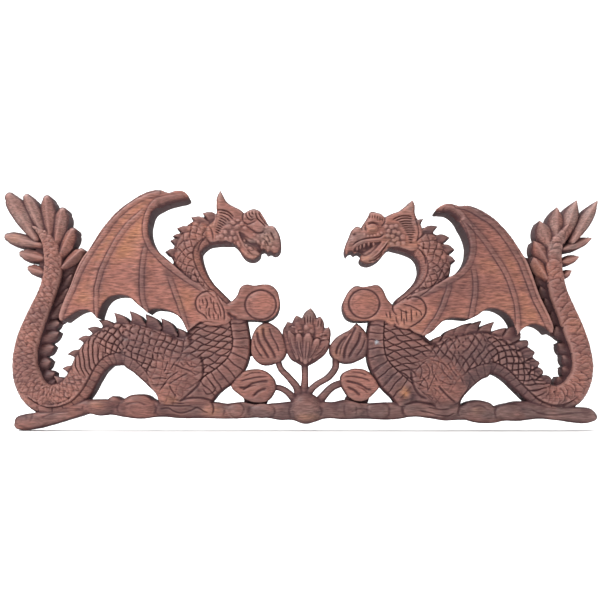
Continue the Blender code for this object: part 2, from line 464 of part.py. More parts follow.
panel = plate("carved_panel", BASE, BASE_TOP, 0.0020, panel_collection, resolution=1)
boolean(panel, 'UNION', "join_relief", collection=solids)
boolean(panel, 'DIFFERENCE', "carve", collection=cutters)

work = bmesh.new()
bmesh.ops.create_cube(work, size=1.0)
bmesh.ops.scale(work, verts=work.verts, vec=(2 * PANEL_LENGTH, 2 * PANEL_LENGTH, 0.04))
bmesh.ops.translate(work, verts=work.verts, vec=(0.0, 0.0, -0.02))
behind = solid_from(work, "behind_back", cutters)
boolean(panel, 'DIFFERENCE', "flat_back", object=behind)

work = bmesh.new()
work.from_mesh(panel.data)
bmesh.ops.remove_doubles(work, verts=work.verts, dist=0.000002)
bmesh.ops.dissolve_limit(work, angle_limit=math.radians(4.0), verts=work.verts, edges=work.edges)
bmesh.ops.triangulate(work, faces=work.faces)
bmesh.ops.rotate(work, verts=work.verts, matrix=Matrix.Rotation(math.radians(90), 3, 'X'))
work.to_mesh(panel.data)
work.free()
panel.data.materials.clear()
panel.data.materials.append(wood_material())

for collection in (solids, cutters):
    for item in collection.objects:
        item.hide_render = True
        item.display_type = 'WIRE'
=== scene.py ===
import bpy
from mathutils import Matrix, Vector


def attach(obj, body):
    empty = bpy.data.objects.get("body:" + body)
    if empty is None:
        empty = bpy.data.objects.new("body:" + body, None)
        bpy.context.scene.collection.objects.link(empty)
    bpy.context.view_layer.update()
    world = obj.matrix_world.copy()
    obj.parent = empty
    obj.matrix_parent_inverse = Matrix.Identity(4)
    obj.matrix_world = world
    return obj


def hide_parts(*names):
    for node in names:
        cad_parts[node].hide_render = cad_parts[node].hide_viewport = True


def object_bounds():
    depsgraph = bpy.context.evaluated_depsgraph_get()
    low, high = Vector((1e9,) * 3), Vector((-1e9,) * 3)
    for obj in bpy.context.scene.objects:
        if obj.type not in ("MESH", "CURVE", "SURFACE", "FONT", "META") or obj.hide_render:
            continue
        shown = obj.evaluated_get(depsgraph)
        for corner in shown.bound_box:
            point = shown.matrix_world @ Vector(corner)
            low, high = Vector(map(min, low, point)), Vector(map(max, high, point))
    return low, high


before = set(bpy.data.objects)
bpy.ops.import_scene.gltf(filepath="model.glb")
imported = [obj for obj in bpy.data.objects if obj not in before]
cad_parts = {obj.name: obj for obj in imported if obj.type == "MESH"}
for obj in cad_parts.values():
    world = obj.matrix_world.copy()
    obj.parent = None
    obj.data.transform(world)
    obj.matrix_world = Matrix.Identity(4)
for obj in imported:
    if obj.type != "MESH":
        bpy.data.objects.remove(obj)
cadLow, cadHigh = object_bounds()

import math

import bpy
import numpy as np

# The outlines are drawn in perspective on a 600 x 600 sheet, x to the right and y down. Sizes are in
# millimetres.
sheet = {"square": 500.0 / 602.0, "viewDistance": 630.0, "depth": 25.0, "viewX": 300.0, "viewY": 395.0,
         "originX": 302.0, "originY": 345.0, "middle": 300.0, "squares": 600.0, "sensor": 36.0}

# What a user would change on the carving: grid step, triangles kept, the hand's unevenness, and the height
# of each layer above the back.
carving = {"step": 0.42, "triangles": 192000, "wobble": 0.22, "toolMarks": 0.10,
           "edgeWobble": 0.12,
           "web": 7.0, "hidden": 12.0, "fan": 19.0, "tail": 19.0, "spine": 15.6, "body": 20.3,
           "thigh": 22.5, "foot": 20.0, "neck": 20.7, "head": 20.5, "paw": 22.2, "disc": 23.6, "wing": 23.4,
           "arm": 23.6, "lotus": 18.0, "leaf": 19.0, "stem": 15.5, "base": 18.5, "knob": 22.5,
           "swelling": 20.3}

# A third value of 1 marks a sharp corner of an outline; along a strand it is the half width.
leftDragon = {
    # Outlines and paths go from point to point.
    "wing": [(187.8, 195.2), (186.3, 192.6), (183, 190.5), (176, 190), (168, 192), (160, 189.5),
        (150, 190.5), (141, 194), (130, 200.8), (117.5, 210.3), (108.2, 220.3), (99.3, 231.8),
        (89.3, 247.5), (81.3, 258.5), (75.3, 270.7), (70, 284.7), (64, 298.7), (59.3, 311), (58.3, 318),
        (61, 320.5), (68, 316.5), (76, 311.5), (83, 309.5), (90, 311.5), (97, 318.5, 1), (100, 309),
        (104, 301), (111, 296), (120, 294.5), (128, 296.5), (137, 304), (147, 312.5, 1), (152, 309),
        (160, 308.5), (170, 311), (179, 317), (187, 331, 1), (196, 324), (208, 316), (214, 304), (207, 289),
        (190, 279), (178, 269), (168, 259.5), (158, 251), (151, 241), (148, 230), (149, 219),
        (152.5, 210.5), (160, 205.5), (168, 202), (178, 199.5), (184.5, 198)],
    "ribs": [[(158, 193), (140, 199), (120, 214), (103, 235), (90, 254), (80, 271), (73, 288), (66, 304),
        (61.5, 316), (59, 324)], [(150, 206), (136, 217), (122, 232), (112, 248), (104, 264), (98.5, 280),
        (96, 295), (96.5, 310), (97.5, 324)], [(147.5, 240), (144, 254), (142, 268), (141.5, 284),
        (142.5, 298), (145.5, 309), (149, 318)], [(168, 272), (172, 284), (177, 298), (182, 312),
        (186, 325), (190, 337)]],
    "armBone": [(180, 196), (168, 198), (156, 202), (149, 212), (146, 223), (146.5, 236), (151, 247),
        (159, 256), (171, 267), (185, 277), (204, 289)],
    "tail": [(35, 228, 1), (41, 232, 4), (48.5, 240, 7.2), (53, 252, 9.2), (54, 265, 9.5),
        (52, 280, 9.5), (46, 297, 9.5), (39, 313, 10.5), (32, 330, 11.5), (27, 346, 12), (25.5, 362, 13),
        (28, 378, 14.5), (36.5, 393.5, 15.3), (51, 400.5, 16), (67, 396.5, 16.5), (77.5, 387, 16),
        (84.5, 375, 15.8), (92, 361, 17), (103, 349.5, 19), (120, 343.5, 21.8), (140, 345.5, 21.8),
        (158, 352, 20)],
    "fanShape": "blunt",
    # Fan, hidden leaves, spines and crest: root, tip and half width of each; one more value leaves a spine
    # with a blunt tip.
    "fan": [((36, 238), (9, 196), 8.8), ((46, 240), (26.5, 196.5), 7.3), ((51, 240), (47, 198), 7.6),
        ((56, 248), (63, 210.5), 8), ((60, 258), (73.5, 230.5), 7.2), ((63, 268), (82, 251), 6),
        ((43, 245.5), (7, 237), 6.8), ((46, 259), (22, 254), 6.2), ((47, 274), (30, 268.5), 5.4)],
    "hidden": [((63, 278), (79.75, 260), 6.5), ((60, 291), (72.75, 275), 6), ((57, 304), (68.75, 289),
        6), ((53, 316), (63, 304), 6), ((46, 326), (60, 323), 6.5), ((41, 339), (59.5, 333), 7.3),
        ((38, 351), (54.5, 347), 7.3), ((38, 365), (51.5, 361.5), 7.3), ((44, 379), (55.5, 373), 6.5),
        ((46, 391), (57, 380), 6.5)],
    "web": [(64, 250), (86, 252), (95, 254.5), (91, 262), (85, 274), (80, 288), (74, 302), (69, 314),
        (65.5, 321), (60, 325), (54, 328), (46, 328), (50, 310), (56, 290), (60, 270)],
    "torso": [(122, 326.5), (150, 327.5), (168, 333), (184, 336.5), (188.5, 326), (200, 314), (216, 309),
        (246, 316, 1), (249, 332), (250, 346), (248, 360), (242, 373), (232, 383), (220, 392), (213, 400),
        (207, 408, 1), (158, 408, 1), (156, 396), (147, 386), (133, 373), (122, 364)],
    "thigh": [(160, 356), (184, 352), (200, 359), (203, 371), (199, 385), (189, 397), (175, 404),
        (160, 403), (156, 394), (150, 386), (148, 370)],
    "foot": [(155, 413), (157, 405), (165, 400.5), (185, 401), (206, 400.5), (213, 406), (213, 413),
        (200, 416), (170, 415)],
    "neck": [(224, 308, 10), (214, 299.5, 11), (204, 290, 11.7), (194.5, 277, 13), (188, 262, 14.3),
        (188, 249, 14), (194, 239, 14.5), (204, 232, 14.5), (216, 229.8, 14.5), (230, 231, 13)],
    "head": [(220, 189.5, 1), (223, 195), (227, 201.5), (233, 205.5), (240, 209), (244, 212.5, 1),
        (248, 210), (254, 208.5), (259.5, 210.5), (263, 215.5), (266, 220.5), (269, 225.5, 1), (273, 225.5),
        (277, 229.5), (280, 236), (281, 243), (280.3, 248.5), (277.5, 252.3), (274, 253.3), (270.5, 251.3),
        (267.5, 252.5), (264, 249.3), (260.5, 250.3, 1), (260, 254), (257, 257.5), (252, 259.3),
        (246, 257.8), (241, 253), (237, 246.5), (231, 242), (220, 240), (210, 241), (204, 236), (206, 226),
        (212, 221), (216, 213), (216, 205), (216.5, 197)],
    "paw": [(218, 306), (228, 303), (236, 296), (241, 286), (246, 284), (254, 285), (262, 284),
        (270, 284.5), (276.5, 289.5), (279.5, 298), (279, 308), (274.5, 316), (267, 320), (256, 320),
        (244, 319.5), (232, 319), (220, 319)],
    "disc": (261, 302.5, 14.5),
    "arm": [(196, 297), (202, 290.5), (211, 290), (219, 297), (226, 309), (230, 320), (218, 325),
        (203, 323), (196, 312)],
    "spines": [((60, 386), (53, 376), 5.4), ((71, 373), (61.5, 368.5), 5.4), ((80, 358), (66.5, 354.2),
        6), ((89, 344), (76.8, 339), 6), ((97, 335), (86.5, 328.5), 6), ((107, 329), (98, 320), 6),
        ((120, 327), (113.5, 312.3), 7.8), ((135, 326), (129, 310.5), 7.8), ((150, 328), (145, 313.5), 8.4),
        ((166, 335), (160.5, 317.5), 8.4), ((182, 342), (177, 327.5), 7.2)],
    "crest": [((175, 256), (164.3, 252), 5.8), ((178, 245), (169.5, 240.5), 4.8), ((182, 239), (172, 236),
        3.6), ((188, 235), (176, 228), 5.8), ((201, 226), (190.5, 217), 6.2), ((212, 221), (202, 212.8),
        6.2)],
    # Points of the tail where belly, slanting cuts and lozenges begin; x where the flank begins; signs for
    # the sides and the leans; bases of the fins; slopes of the flank's net; on the tail, shares of net and
    # scales and the pitches of the scales.
    "zones": (12, 16, 18), "flankFrom": 186, "outerSide": 1, "napeSide": -1, "neckRun": -1, "spineLean": 1,
    "fanTilt": 0.45, "finBases": (1.3, 0.9), "net": ((0.143, 0.043), (-0.044, 0.147)),
    "tailScales": (0.35, 1.5, 6.4, 8.4),
    "tone": {"fan": 0.5, "tail": 0.52, "body": 0.4, "fins": 0.14, "chest": 0.34, "flank": 0.36,
        "thigh": 0.55, "foot": 0.45, "neck": 0.62, "head": 0.75, "paw": 0.85, "disc": 1, "wing": 1,
        "rib": 0.45, "arm": 0.85},
    "bellyArc": [(100, 357), (110, 354.5), (120, 354.5), (130, 357.5), (138, 363), (146, 372), (153, 384),
        (158, 396)],
    "chestArc": [(229, 318), (231.5, 330), (232.5, 345), (228, 357), (218, 367), (205, 376), (196, 384)],
    "mouthDepth": 1.35,
    "mouthDip": [(238.5, 231), (243, 232), (249, 236), (256, 240), (259.5, 243), (264, 249), (262, 253),
        (256, 252), (251, 248), (246, 245.5), (242.5, 242), (239.5, 237)],
    "mouthDeep": [(244, 238), (250, 240.5), (257, 241.5), (261, 245), (264, 251), (260, 254), (254, 248.5),
        (247, 243.5)],
    # Cuts: height of the surface, half width, depth, then the paths.
    "cuts": [
        (20.5, 0.75, 1.7, [[(216.5, 209.6), (222, 209.8), (228.5, 212), (234, 217)], [(218, 212.2),
            (224, 213), (229.4, 215.6), (233, 219.4)], [(219.4, 215), (225, 217), (230, 221)],
            [(219, 217.2), (224, 219.4), (227, 222)], [(218, 219.6), (223, 222), (226, 224.4)],
            [(217.4, 222), (221, 223.6), (224.4, 226)], [(216.8, 224.4), (220, 225.8), (223, 227.6)],
            [(216, 226.8), (219, 228), (222, 229.6)], [(215.4, 229), (218, 230), (221, 231.6)],
            [(215, 231.2), (219.4, 233.4)]]),
        (20.5, 0.9, 1, [[(208, 225), (210.3, 227.8), (212, 231.5), (212.8, 236), (213, 241.5)],
            [(243.3, 211.5), (242.5, 217.8), (243, 221)], [(243, 221), (246.2, 223.6), (248.5, 224),
            (253, 222.4), (256.2, 220.5)], [(246.6, 226), (250.7, 228.6), (253.9, 231), (257.5, 232.8),
            (261.6, 232.4), (264.4, 229.6)]]),
        (20.5, 0.7, 1.5, [[(246.4, 211.8), (246.2, 215), (248.5, 218.7), (251.2, 219.9), (254, 218.7)],
            [(249.4, 211.3), (249.4, 214.6), (251.4, 217), (254, 216.6)], [(252.4, 210.8), (252.3, 213.6),
            (254.4, 214.6)], [(255.7, 211.5), (256.2, 215), (257.8, 218.7), (261, 222), (264, 224.8),
            (264.8, 227)], [(258.6, 212), (259.6, 215), (262, 218.7), (266.6, 224.6)]]),
        (20.5, 0.9, 1.5, [[(270.3, 231.3), (272.5, 235.5), (274.8, 240.2)]]),
        (20.5, 0.9, -0.8, [[(238, 231.5), (239.4, 237), (241.6, 242), (244, 246.5), (248, 251)],
            [(266, 229), (268, 226), (271.5, 226.5), (275.5, 232), (278, 239)], [(215.5, 212), (215.8, 217),
            (214.5, 222.5), (213.5, 227)]]),
        (20.5, 0.7, 0.7, [[(246.6, 248.6), (250, 252.5), (255, 256)], [(264, 232.5), (268, 237),
            (270.5, 243)], [(262, 238), (266.5, 241.5), (268.5, 246.5)]]),
        (20.7, 0.8, 1, [[(194, 271.5), (199, 282), (207, 291), (216, 299)], [(205, 238), (200, 243),
            (197.5, 251)]]),
        (23.4, 0.95, 1.3, [[(214, 291.5), (207, 291), (200, 294), (196, 299), (195.6, 305), (198, 311),
            (204, 315), (208, 320)], [(215, 292), (218.5, 299), (222.5, 307), (224.5, 314), (224, 321)]]),
        (23.4, 0.7, 1.1, [[(205, 297), (207.5, 303), (206, 309)], [(209.5, 307), (209, 314), (211, 319)],
            [(202, 298), (203.5, 305)], [(213.5, 300), (214, 308), (217, 315)], [(217, 302), (220, 310),
            (221, 318)], [(210, 296), (212, 304)], [(199, 304), (201, 310)], [(213, 312), (214.5, 320)],
            [(218, 313), (218.6, 320)], [(206, 311), (206.6, 316)], [(200, 299), (199.5, 303)]]),
        (23, 2, 2.4, [[(226.5, 311.5), (231, 315.5), (238, 318)]]),
        (23.2, 0.8, 1, [[(196, 324), (205, 321.5), (214, 322)]]),
        (23.2, 5.2, 9, [[(158, 209.5), (166, 206), (175, 203), (184, 200.5), (190, 199), (192.5, 194)]]),
        (21, 2.4, 2.4, [[(186, 331), (189.5, 338), (191, 345)], [(171, 334), (175, 341)]]),
        (21.5, 0.7, 0.95, [[(174, 364), (182, 368), (190, 371), (196, 375)], [(188.5, 373), (180, 377),
            (169, 384)], [(169, 385), (172, 391), (176.5, 397)], [(179, 371), (170, 377), (165, 383),
            (159, 391)], [(149, 368), (158, 367)], [(151, 378.6), (160, 378), (168, 378.5)], [(150, 385),
            (159, 385), (167, 383.5)], [(164, 373.8), (172, 373)], [(168, 360.5), (166, 367), (163.5, 373)],
            [(175.5, 361), (170, 370)], [(161, 354), (163.5, 359.5)], [(152, 353.5), (153.5, 360)],
            [(148.5, 361), (151, 367)], [(180, 356), (176, 362)], [(186, 361), (189, 365.5), (196, 367)],
            [(180, 362), (184, 366)], [(191, 362), (192, 366.5)], [(203, 389), (207, 394), (213, 392),
            (216, 387)], [(210, 381), (216, 389)]]),
        (21, 1.3, 1.6, [[(200, 355), (202.6, 364), (202.6, 375), (198, 385), (190, 393), (181, 400)],
            [(178, 401.5), (190, 398), (204, 398.5), (215, 402)]]),
        (20.4, 0.8, 1, [[(160, 409), (168, 408), (174, 411.5), (182, 413), (192, 410), (197, 407.5),
            (204, 411.5), (209, 413)], [(163, 405), (178, 406), (192, 405.5)], [(212, 403), (213.5, 409),
            (212, 415)], [(170, 403), (185, 403.6)]]),
        (19, 1, 0.9, [[(28, 398), (35, 402), (45, 404.5), (55, 404), (65, 401), (73, 395)]])],
    # Bumps: height of the surface, rise, then centre, half widths and turn of each.
    "bumps": [
        (20.5, 1.25, [(228.5, 226.8, 2.8, 2.2, 0), (233, 222.6, 2.8, 1.8, 15),
            (237.6, 226.6, 3, 1.9, -20), (241.9, 223.8, 2.1, 2.1, 0), (245.2, 228, 2.3, 1.7, 20),
            (232.6, 232.8, 2.2, 2.5, 0), (225.5, 232.3, 2.3, 2.2, 0), (235.4, 238.3, 2.3, 2.1, 0),
            (230.6, 238.6, 2, 2.2, 0), (221.4, 236.2, 2.5, 1.9, 0), (226, 238.8, 2, 1.9, 0),
            (238.4, 244.6, 1.7, 2.5, -20), (238, 220.5, 2.1, 1.4, 0), (217.5, 237.5, 2, 2, 0),
            (234, 244, 1.6, 1.8, 0)]),
        (20.5, 1.9, [(257.2, 226.6, 6.6, 4.6, 22)]),
        (20.5, 1, [(270.5, 228.6, 4, 4, 0), (251.5, 214, 6.5, 5, 0)]),
        (18, 1.8, [(258.5, 242.8, 1.5, 1.7, 0), (263.4, 244.4, 1.5, 2, -20),
            (261.8, 247.6, 1.2, 1.5, 0), (244.8, 241, 1.1, 1.3, 0), (246.8, 246, 1.2, 1.3, 0),
            (251.2, 249.2, 1.8, 1.3, 30)]),
        (20.5, 0.8, [(262.5, 236.4, 1.9, 1.6, 0), (266.4, 234.4, 1.6, 1.7, 0), (267.4, 240, 1.8, 1.6, 0),
            (258.2, 236.6, 1.8, 1.3, 20), (264, 240.8, 1.6, 1.3, 0), (271, 243.4, 1.8, 1.6, 0),
            (273.6, 247.4, 1.7, 1.5, 0), (254.4, 234.6, 1.8, 1.3, 30)]),
        (20.5, 0.7, [(245.7, 254, 2, 1.6, 40), (253, 258, 2.6, 1.4, 0), (268.5, 247.8, 1.8, 1.8, 0)])],
}
rightDragon = {
    "wing": [(437, 209), (439, 206.5), (443, 204.3), (450, 203), (456, 204.5), (460, 205.8), (466, 205),
        (474, 206.5), (483, 210.5), (492.5, 216.5), (502, 225.5), (510.5, 235), (519, 247.5), (527, 259.5),
        (532, 271.5), (536.5, 284.5), (541.5, 297.5), (547, 309), (551.5, 319), (554, 330), (552, 333),
        (546, 328.5), (541, 325.5), (535, 324), (529, 325.5), (523, 329), (518, 334.5, 1), (515.5, 326),
        (512, 319), (507, 313.5), (500, 309.5), (491, 308), (485, 310), (478, 315), (470, 318.5),
        (462, 318), (453, 317.5), (445, 320), (438, 326), (432, 332), (424, 335.5, 1), (412, 330),
        (404, 318), (406, 303), (414, 293.5), (425, 289), (436, 284.5), (447, 278), (457, 272.5),
        (464, 265.5), (468.5, 256), (469.5, 246), (467.5, 236), (463, 227), (457, 217), (449, 211),
        (442, 210)],
    "ribs": [[(457, 205), (468, 208), (480, 214.5), (493, 223.5), (504, 235.5), (513, 248.5), (521, 262),
        (527, 278), (533, 294), (541, 311), (549, 327), (554, 338)], [(462, 216), (474, 228), (486, 242),
        (497, 258), (506, 273), (512, 288), (516.5, 304), (518, 322), (518.5, 340)], [(472, 262),
        (475, 275), (476, 288), (474.5, 301), (472, 314), (470, 324)], [(450, 278), (448.5, 290),
        (444, 303), (438, 316), (430, 328), (422, 339)]],
    "armBone": [(448, 208), (456, 210), (464, 218), (470, 230), (473, 244), (471, 259), (465, 269),
        (455, 277), (442, 284.5), (428, 291), (414, 297)],
    "tail": [(566, 226, 1), (561, 233.5, 4), (554.5, 245, 7.5), (553, 262, 8.5), (554.5, 278, 9),
        (558, 294, 9.5), (565, 311, 10), (571, 325, 10.5), (577, 340, 10.5), (581, 355, 10.5),
        (582, 368, 11), (578.5, 382, 12.5), (570, 393.5, 13.5), (556, 399, 13.8), (541, 394.5, 14.2),
        (526, 380.5, 14.8), (513.5, 366, 17), (501, 356.5, 19.8), (487, 352, 21.5), (470, 352, 21.5),
        (455, 354.5, 19)],
    "fanShape": "pointed",
    "fan": [((572, 241), (596, 202), 6.8), ((561, 241), (575.5, 201.5), 8.4), ((555, 243), (556, 208.5),
        8.2), ((550, 250), (538.5, 222), 8.4), ((547, 264), (533, 242), 7.6), ((546, 279), (532, 258), 6.6),
        ((560, 250), (590.5, 238.8), 5.6), ((558, 263), (578, 257.3), 5), ((558, 278), (570.5, 271), 4.4)],
    "hidden": [((550, 289), (535.25, 275), 6.5), ((552, 300), (539.25, 287), 6.5), ((556, 312),
        (544.25, 299), 6.5), ((561, 324), (551, 312), 6.5), ((567, 338), (555, 327), 7.2), ((571, 352),
        (557.5, 344), 7.8), ((573, 363), (561.5, 356), 7.2), ((572, 373), (561.5, 368), 7.2), ((562, 386),
        (557, 377), 6.5)],
    "web": [(528, 258), (546, 262), (550, 280), (553, 295), (561, 312), (569, 332), (563, 342), (556, 338),
        (550, 334.5), (544, 330.5), (541.5, 321.5), (537, 312), (531.5, 301), (526.5, 288), (522, 275),
        (517.5, 264), (514.5, 256.5)],
    "torso": [(488, 333), (470, 331.5), (448, 336), (436, 341.5), (426.5, 336), (418, 322), (402, 312),
        (386, 312), (370, 317, 1), (367.5, 335), (367, 352), (369.5, 366), (376, 379), (384, 390),
        (393, 399), (399, 408, 1), (461, 408, 1), (463, 400), (472, 389), (483, 379.5), (491, 375)],
    "thigh": [(450, 358), (430, 354), (415, 362), (411.5, 374), (414, 387), (421, 397), (436, 404),
        (457, 403), (462, 396), (468, 387), (468, 372)],
    "foot": [(403, 413), (405, 406), (412, 401), (430, 402), (448, 400), (458, 404), (460, 412), (453, 417),
        (425, 416)],
    "neck": [(402, 304.5, 8), (412.5, 299, 10.5), (425, 289.5, 13), (433, 277, 15), (434.5, 263, 16.3),
        (430, 252, 16), (421, 243.5, 15.2), (408, 239.5, 13.5), (394, 237, 12)],
    "head": [(413, 199.5, 1), (415.3, 205), (415.2, 212), (417, 217), (420, 222), (424, 232), (423, 244),
        (416, 250), (405, 248), (397, 246), (390, 247.5), (386, 251), (382, 256), (377, 260.5),
        (371, 263.3), (365, 263.3), (361, 261), (360, 257.5), (362, 254, 1), (358, 251.5), (354.5, 253),
        (352, 251), (349.5, 251.5), (346.5, 254.8, 1), (344.5, 250), (345.3, 245), (347.8, 239), (350, 233),
        (353, 228.5), (357, 226), (361, 227, 1), (364.5, 221.5), (368, 216), (370.5, 211.5), (377, 212),
        (381.5, 213.5), (385, 216.5, 1), (392, 213), (399, 210.5), (405, 206), (410, 201.5)],
    "paw": [(395, 308), (388, 299), (382, 287.5), (377, 284.5), (370, 285.5), (363, 286.5), (356, 285.5),
        (350, 289.5), (345, 297), (342.5, 305), (344.5, 314), (350, 319.5), (360, 321), (372, 320.5),
        (384, 321), (394, 326)],
    "disc": (364.5, 303, 14.5),
    "arm": [(392, 309), (400, 302), (411, 298), (421, 301), (426.5, 310), (423, 320), (414, 327),
        (402, 328), (394, 321)],
    "spines": [((425, 350), (429, 342), 4), ((436, 350), (443, 335), 5), ((449, 345), (458.5, 326.8),
        6), ((461, 341), (472, 322.3), 7), ((473, 339), (482.3, 320), 7.2), ((486, 339), (495, 321.3),
        6.8), ((498, 343), (507.5, 327.3), 6.8), ((518, 353), (529, 341.5), 5.4, "blunt"), ((524, 363),
        (535.2, 352), 5.4, "blunt"), ((530, 372), (540.2, 362.5), 5.4, "blunt"), ((534, 381),
        (543.8, 372.6), 5.4, "blunt"), ((544, 389), (550.5, 378), 5, "blunt")],
    "crest": [((416, 231), (424, 218.3), 6.2), ((427, 237), (438.5, 225.8), 6.7), ((438, 243),
        (450.5, 237.5), 6.2), ((444, 252), (455.3, 249.7), 6.2), ((445, 262), (456.3, 261), 5.8)],
    "zones": (12, 14, 15), "flankFrom": 432, "outerSide": -1, "napeSide": 1, "neckRun": -1,
    "spineLean": -1, "fanTilt": 1.3, "finBases": (1.55, 1.2), "net": ((0.12, 0.086), (0.12, -0.086)),
    "tailScales": (0.15, 2.1, 5, 14),
    "tone": {"fan": 0.8, "tail": 0.66, "body": 0, "fins": 0, "chest": 0.17, "flank": -0.05,
        "thigh": 0.55, "foot": 0.3, "neck": 0.55, "head": 0.7, "paw": 0.8, "disc": 0.9, "wing": 0.88,
        "rib": 0.4, "arm": 0.8},
    "bellyArc": [(508, 368), (496, 363.5), (484, 364), (473, 368), (465, 373.5), (457, 381), (450, 392)],
    "chestArc": [(385, 319), (384, 332), (384, 345), (387, 358), (395, 368), (404, 376), (413, 384)],
    "mouthDepth": 1.9,
    "mouthDip": [(353, 249), (357, 245.5), (363, 242.8), (370, 241.2), (377, 241), (382, 241), (379, 246.5),
        (374, 251.5), (369, 255.5), (364, 256.5), (358, 252), (354, 253)],
    "mouthDeep": [(355, 250), (359, 246), (366, 243.3), (375, 242.5), (374, 247), (368, 252), (363, 254),
        (358, 252.5)],
    "cuts": [
        (20.5, 0.75, 1.6, [[(392.5, 219.6), (398.8, 216.5), (405.6, 215.5), (413, 216.5)], [(395.6, 220.7),
            (401, 218.5), (407, 218), (413, 218.8)], [(398.8, 222.2), (405, 220.7), (413, 221.2)],
            [(400.2, 224), (406, 223.1), (413.5, 223.7)], [(401, 226), (407, 225.4), (414.5, 225.9)],
            [(402.5, 228), (409, 227.6), (415.6, 228)], [(403.6, 230.1), (410, 229.8), (416.5, 230.2)],
            [(405.6, 232.2), (411, 232), (416.5, 232.4)], [(406.6, 234.4), (414.7, 234.6)], [(407.5, 236.8),
            (414.7, 237)], [(408, 239.3), (413.6, 239.6)], [(408.4, 241.9), (414, 242.6)]]),
        (20.5, 0.9, 1, [[(414.7, 217), (416.5, 221.5), (418.4, 227.8), (418.8, 234), (417.4, 241)],
            [(415.6, 242), (419, 238.5), (423, 235), (425.2, 231.5)], [(416.5, 243.3), (421.5, 247),
            (427, 249.2)], [(367.3, 225.2), (370.2, 223.3), (373.8, 223.1), (378, 224.6)], [(366, 224.2),
            (365.4, 227.8), (366.5, 231.5)], [(361.5, 226.6), (362.5, 231)], [(385.4, 217.4),
            (384.4, 222.5), (381, 227)]]),
        (20.5, 0.7, 1.5, [[(370.2, 214.6), (369.7, 219)], [(372.6, 214.4), (372.2, 219.3)], [(375.2, 214.6),
            (374.6, 219)], [(377.4, 215.4), (377.4, 219.8)], [(379.8, 216.6), (380.3, 221)], [(382, 217.6),
            (382.6, 221.6)]]),
        (20.5, 0.8, 1, [[(352.5, 245), (357.5, 241.3), (362, 239.4), (368, 238), (374, 237.5),
            (380, 236.7), (384, 234)]]),
        (20.5, 1.6, 1, [[(352.8, 237), (354.3, 234.6), (357, 233)]]),
        (20.5, 0.8, -0.8, [[(353, 246.8), (357.4, 243.4), (362, 241.2), (367, 240), (373.8, 239.4),
            (380, 238.6), (384.5, 236)], [(389, 239.6), (385.5, 244.5), (381.5, 249.6), (377, 254.6),
            (372, 257.6), (367.5, 258.4)], [(366.5, 221.8), (373.8, 220.7), (381, 223.3)]]),
        (20.5, 0.7, 1.5, [[(388, 242.4), (384, 248), (379.5, 253.4), (374, 257.6)], [(383, 252),
            (377.8, 257.4), (373, 260.2), (368, 261)]]),
        (20.7, 0.8, 1, [[(443, 268), (438, 279), (430, 289), (419, 297)], [(421, 250), (425, 256),
            (426.5, 265)]]),
        (23.4, 0.95, 1.3, [[(406, 300), (413, 296.6), (420, 298), (425, 303), (426.6, 309), (425, 315),
            (420, 321), (413, 325.5), (408, 328)]]),
        (23.4, 0.75, 1.1, [[(403, 304), (410, 305.6), (416, 308.5), (421, 312), (422, 317)], [(393, 304.5),
            (393.6, 311), (398, 316)], [(399, 309), (404, 311.4), (409, 313)], [(390, 311), (391, 319)],
            [(396, 315), (397.5, 324)], [(401.5, 310), (402, 322)], [(406, 309), (407, 323)], [(411.3, 308),
            (412, 322)], [(416.5, 311), (417, 317)], [(398, 320), (399, 326)], [(404, 317), (404.6, 325)],
            [(386, 312), (388, 318)]]),
        (23.2, 5, 8, [[(459, 222), (453, 215), (446, 212.5), (440, 212.5), (434.5, 211)]]),
        (21, 2.4, 2.4, [[(424, 338), (431, 343), (438, 345)]]),
        (21.5, 0.65, 0.75, [[(418, 362), (422, 370), (420, 380)], [(426, 363), (430, 371), (428, 380)],
            [(413, 370), (417, 377)], [(421, 375), (427, 383), (428, 392)], [(432, 363), (433, 373),
            (438, 382)], [(415, 372), (420, 366), (427, 360)], [(419, 387), (424, 379), (430, 374)],
            [(436, 372), (431, 384), (428, 391)], [(441, 364), (444, 372), (452, 380)], [(448, 362),
            (452, 370), (458, 377)], [(440, 380), (448, 384), (456, 384)], [(433, 360), (442, 363),
            (450, 370)], [(419, 383), (424, 387)], [(433, 387), (437, 391)], [(428, 395), (434, 399)],
            [(461, 377), (464, 384)]]),
        (21, 1.2, 1.5, [[(411, 371), (412.5, 381), (416, 390), (421, 396), (428, 399)], [(438.5, 386),
            (444, 392), (450, 398), (457, 403)], [(404, 405), (417, 402), (430, 404), (438, 408)]]),
        (20.4, 0.8, 1, [[(420, 411), (430, 412.6), (438, 415), (448, 416), (455, 413)], [(403, 408),
            (404, 415)], [(428, 407), (440, 409.5), (450, 409)]]),
        (19, 1, 0.9, [[(534, 396), (541, 401), (550, 405), (560, 406.5), (568, 404)]])],
    "bumps": [
        (20.5, 1.25, [(391.6, 227.2, 2.3, 2.2, 0), (388.6, 231, 2, 2.2, 0), (396.2, 226, 2.2, 1.8, 0),
            (394.4, 231.6, 2.4, 2, 0), (402.6, 237, 2.5, 2.6, 0), (398.6, 233.4, 2.1, 2, 0),
            (388, 235.7, 2.2, 1.9, 0), (392.6, 236.4, 2.2, 2, 0), (397.2, 238.6, 2.2, 2, 0),
            (392, 244.2, 2.6, 2.2, 0), (398, 243.4, 2.4, 2, 0), (387.3, 250, 1.7, 2.4, 15),
            (403.4, 243, 2.2, 1.9, 0), (394, 240.4, 2, 1.6, 0), (386, 226.5, 1.8, 1.8, 0)]),
        (20.5, 2, [(372.4, 227.8, 4.8, 3.6, 0)]),
        (20.5, 1.1, [(356.4, 229.6, 4.2, 3.6, 0), (375, 217, 7, 4, 0)]),
        (20.5, 0.9, [(364.5, 235, 1.4, 1.5, 0), (368, 236, 1.4, 1.2, 0), (371.4, 236, 1.4, 1.2, 0),
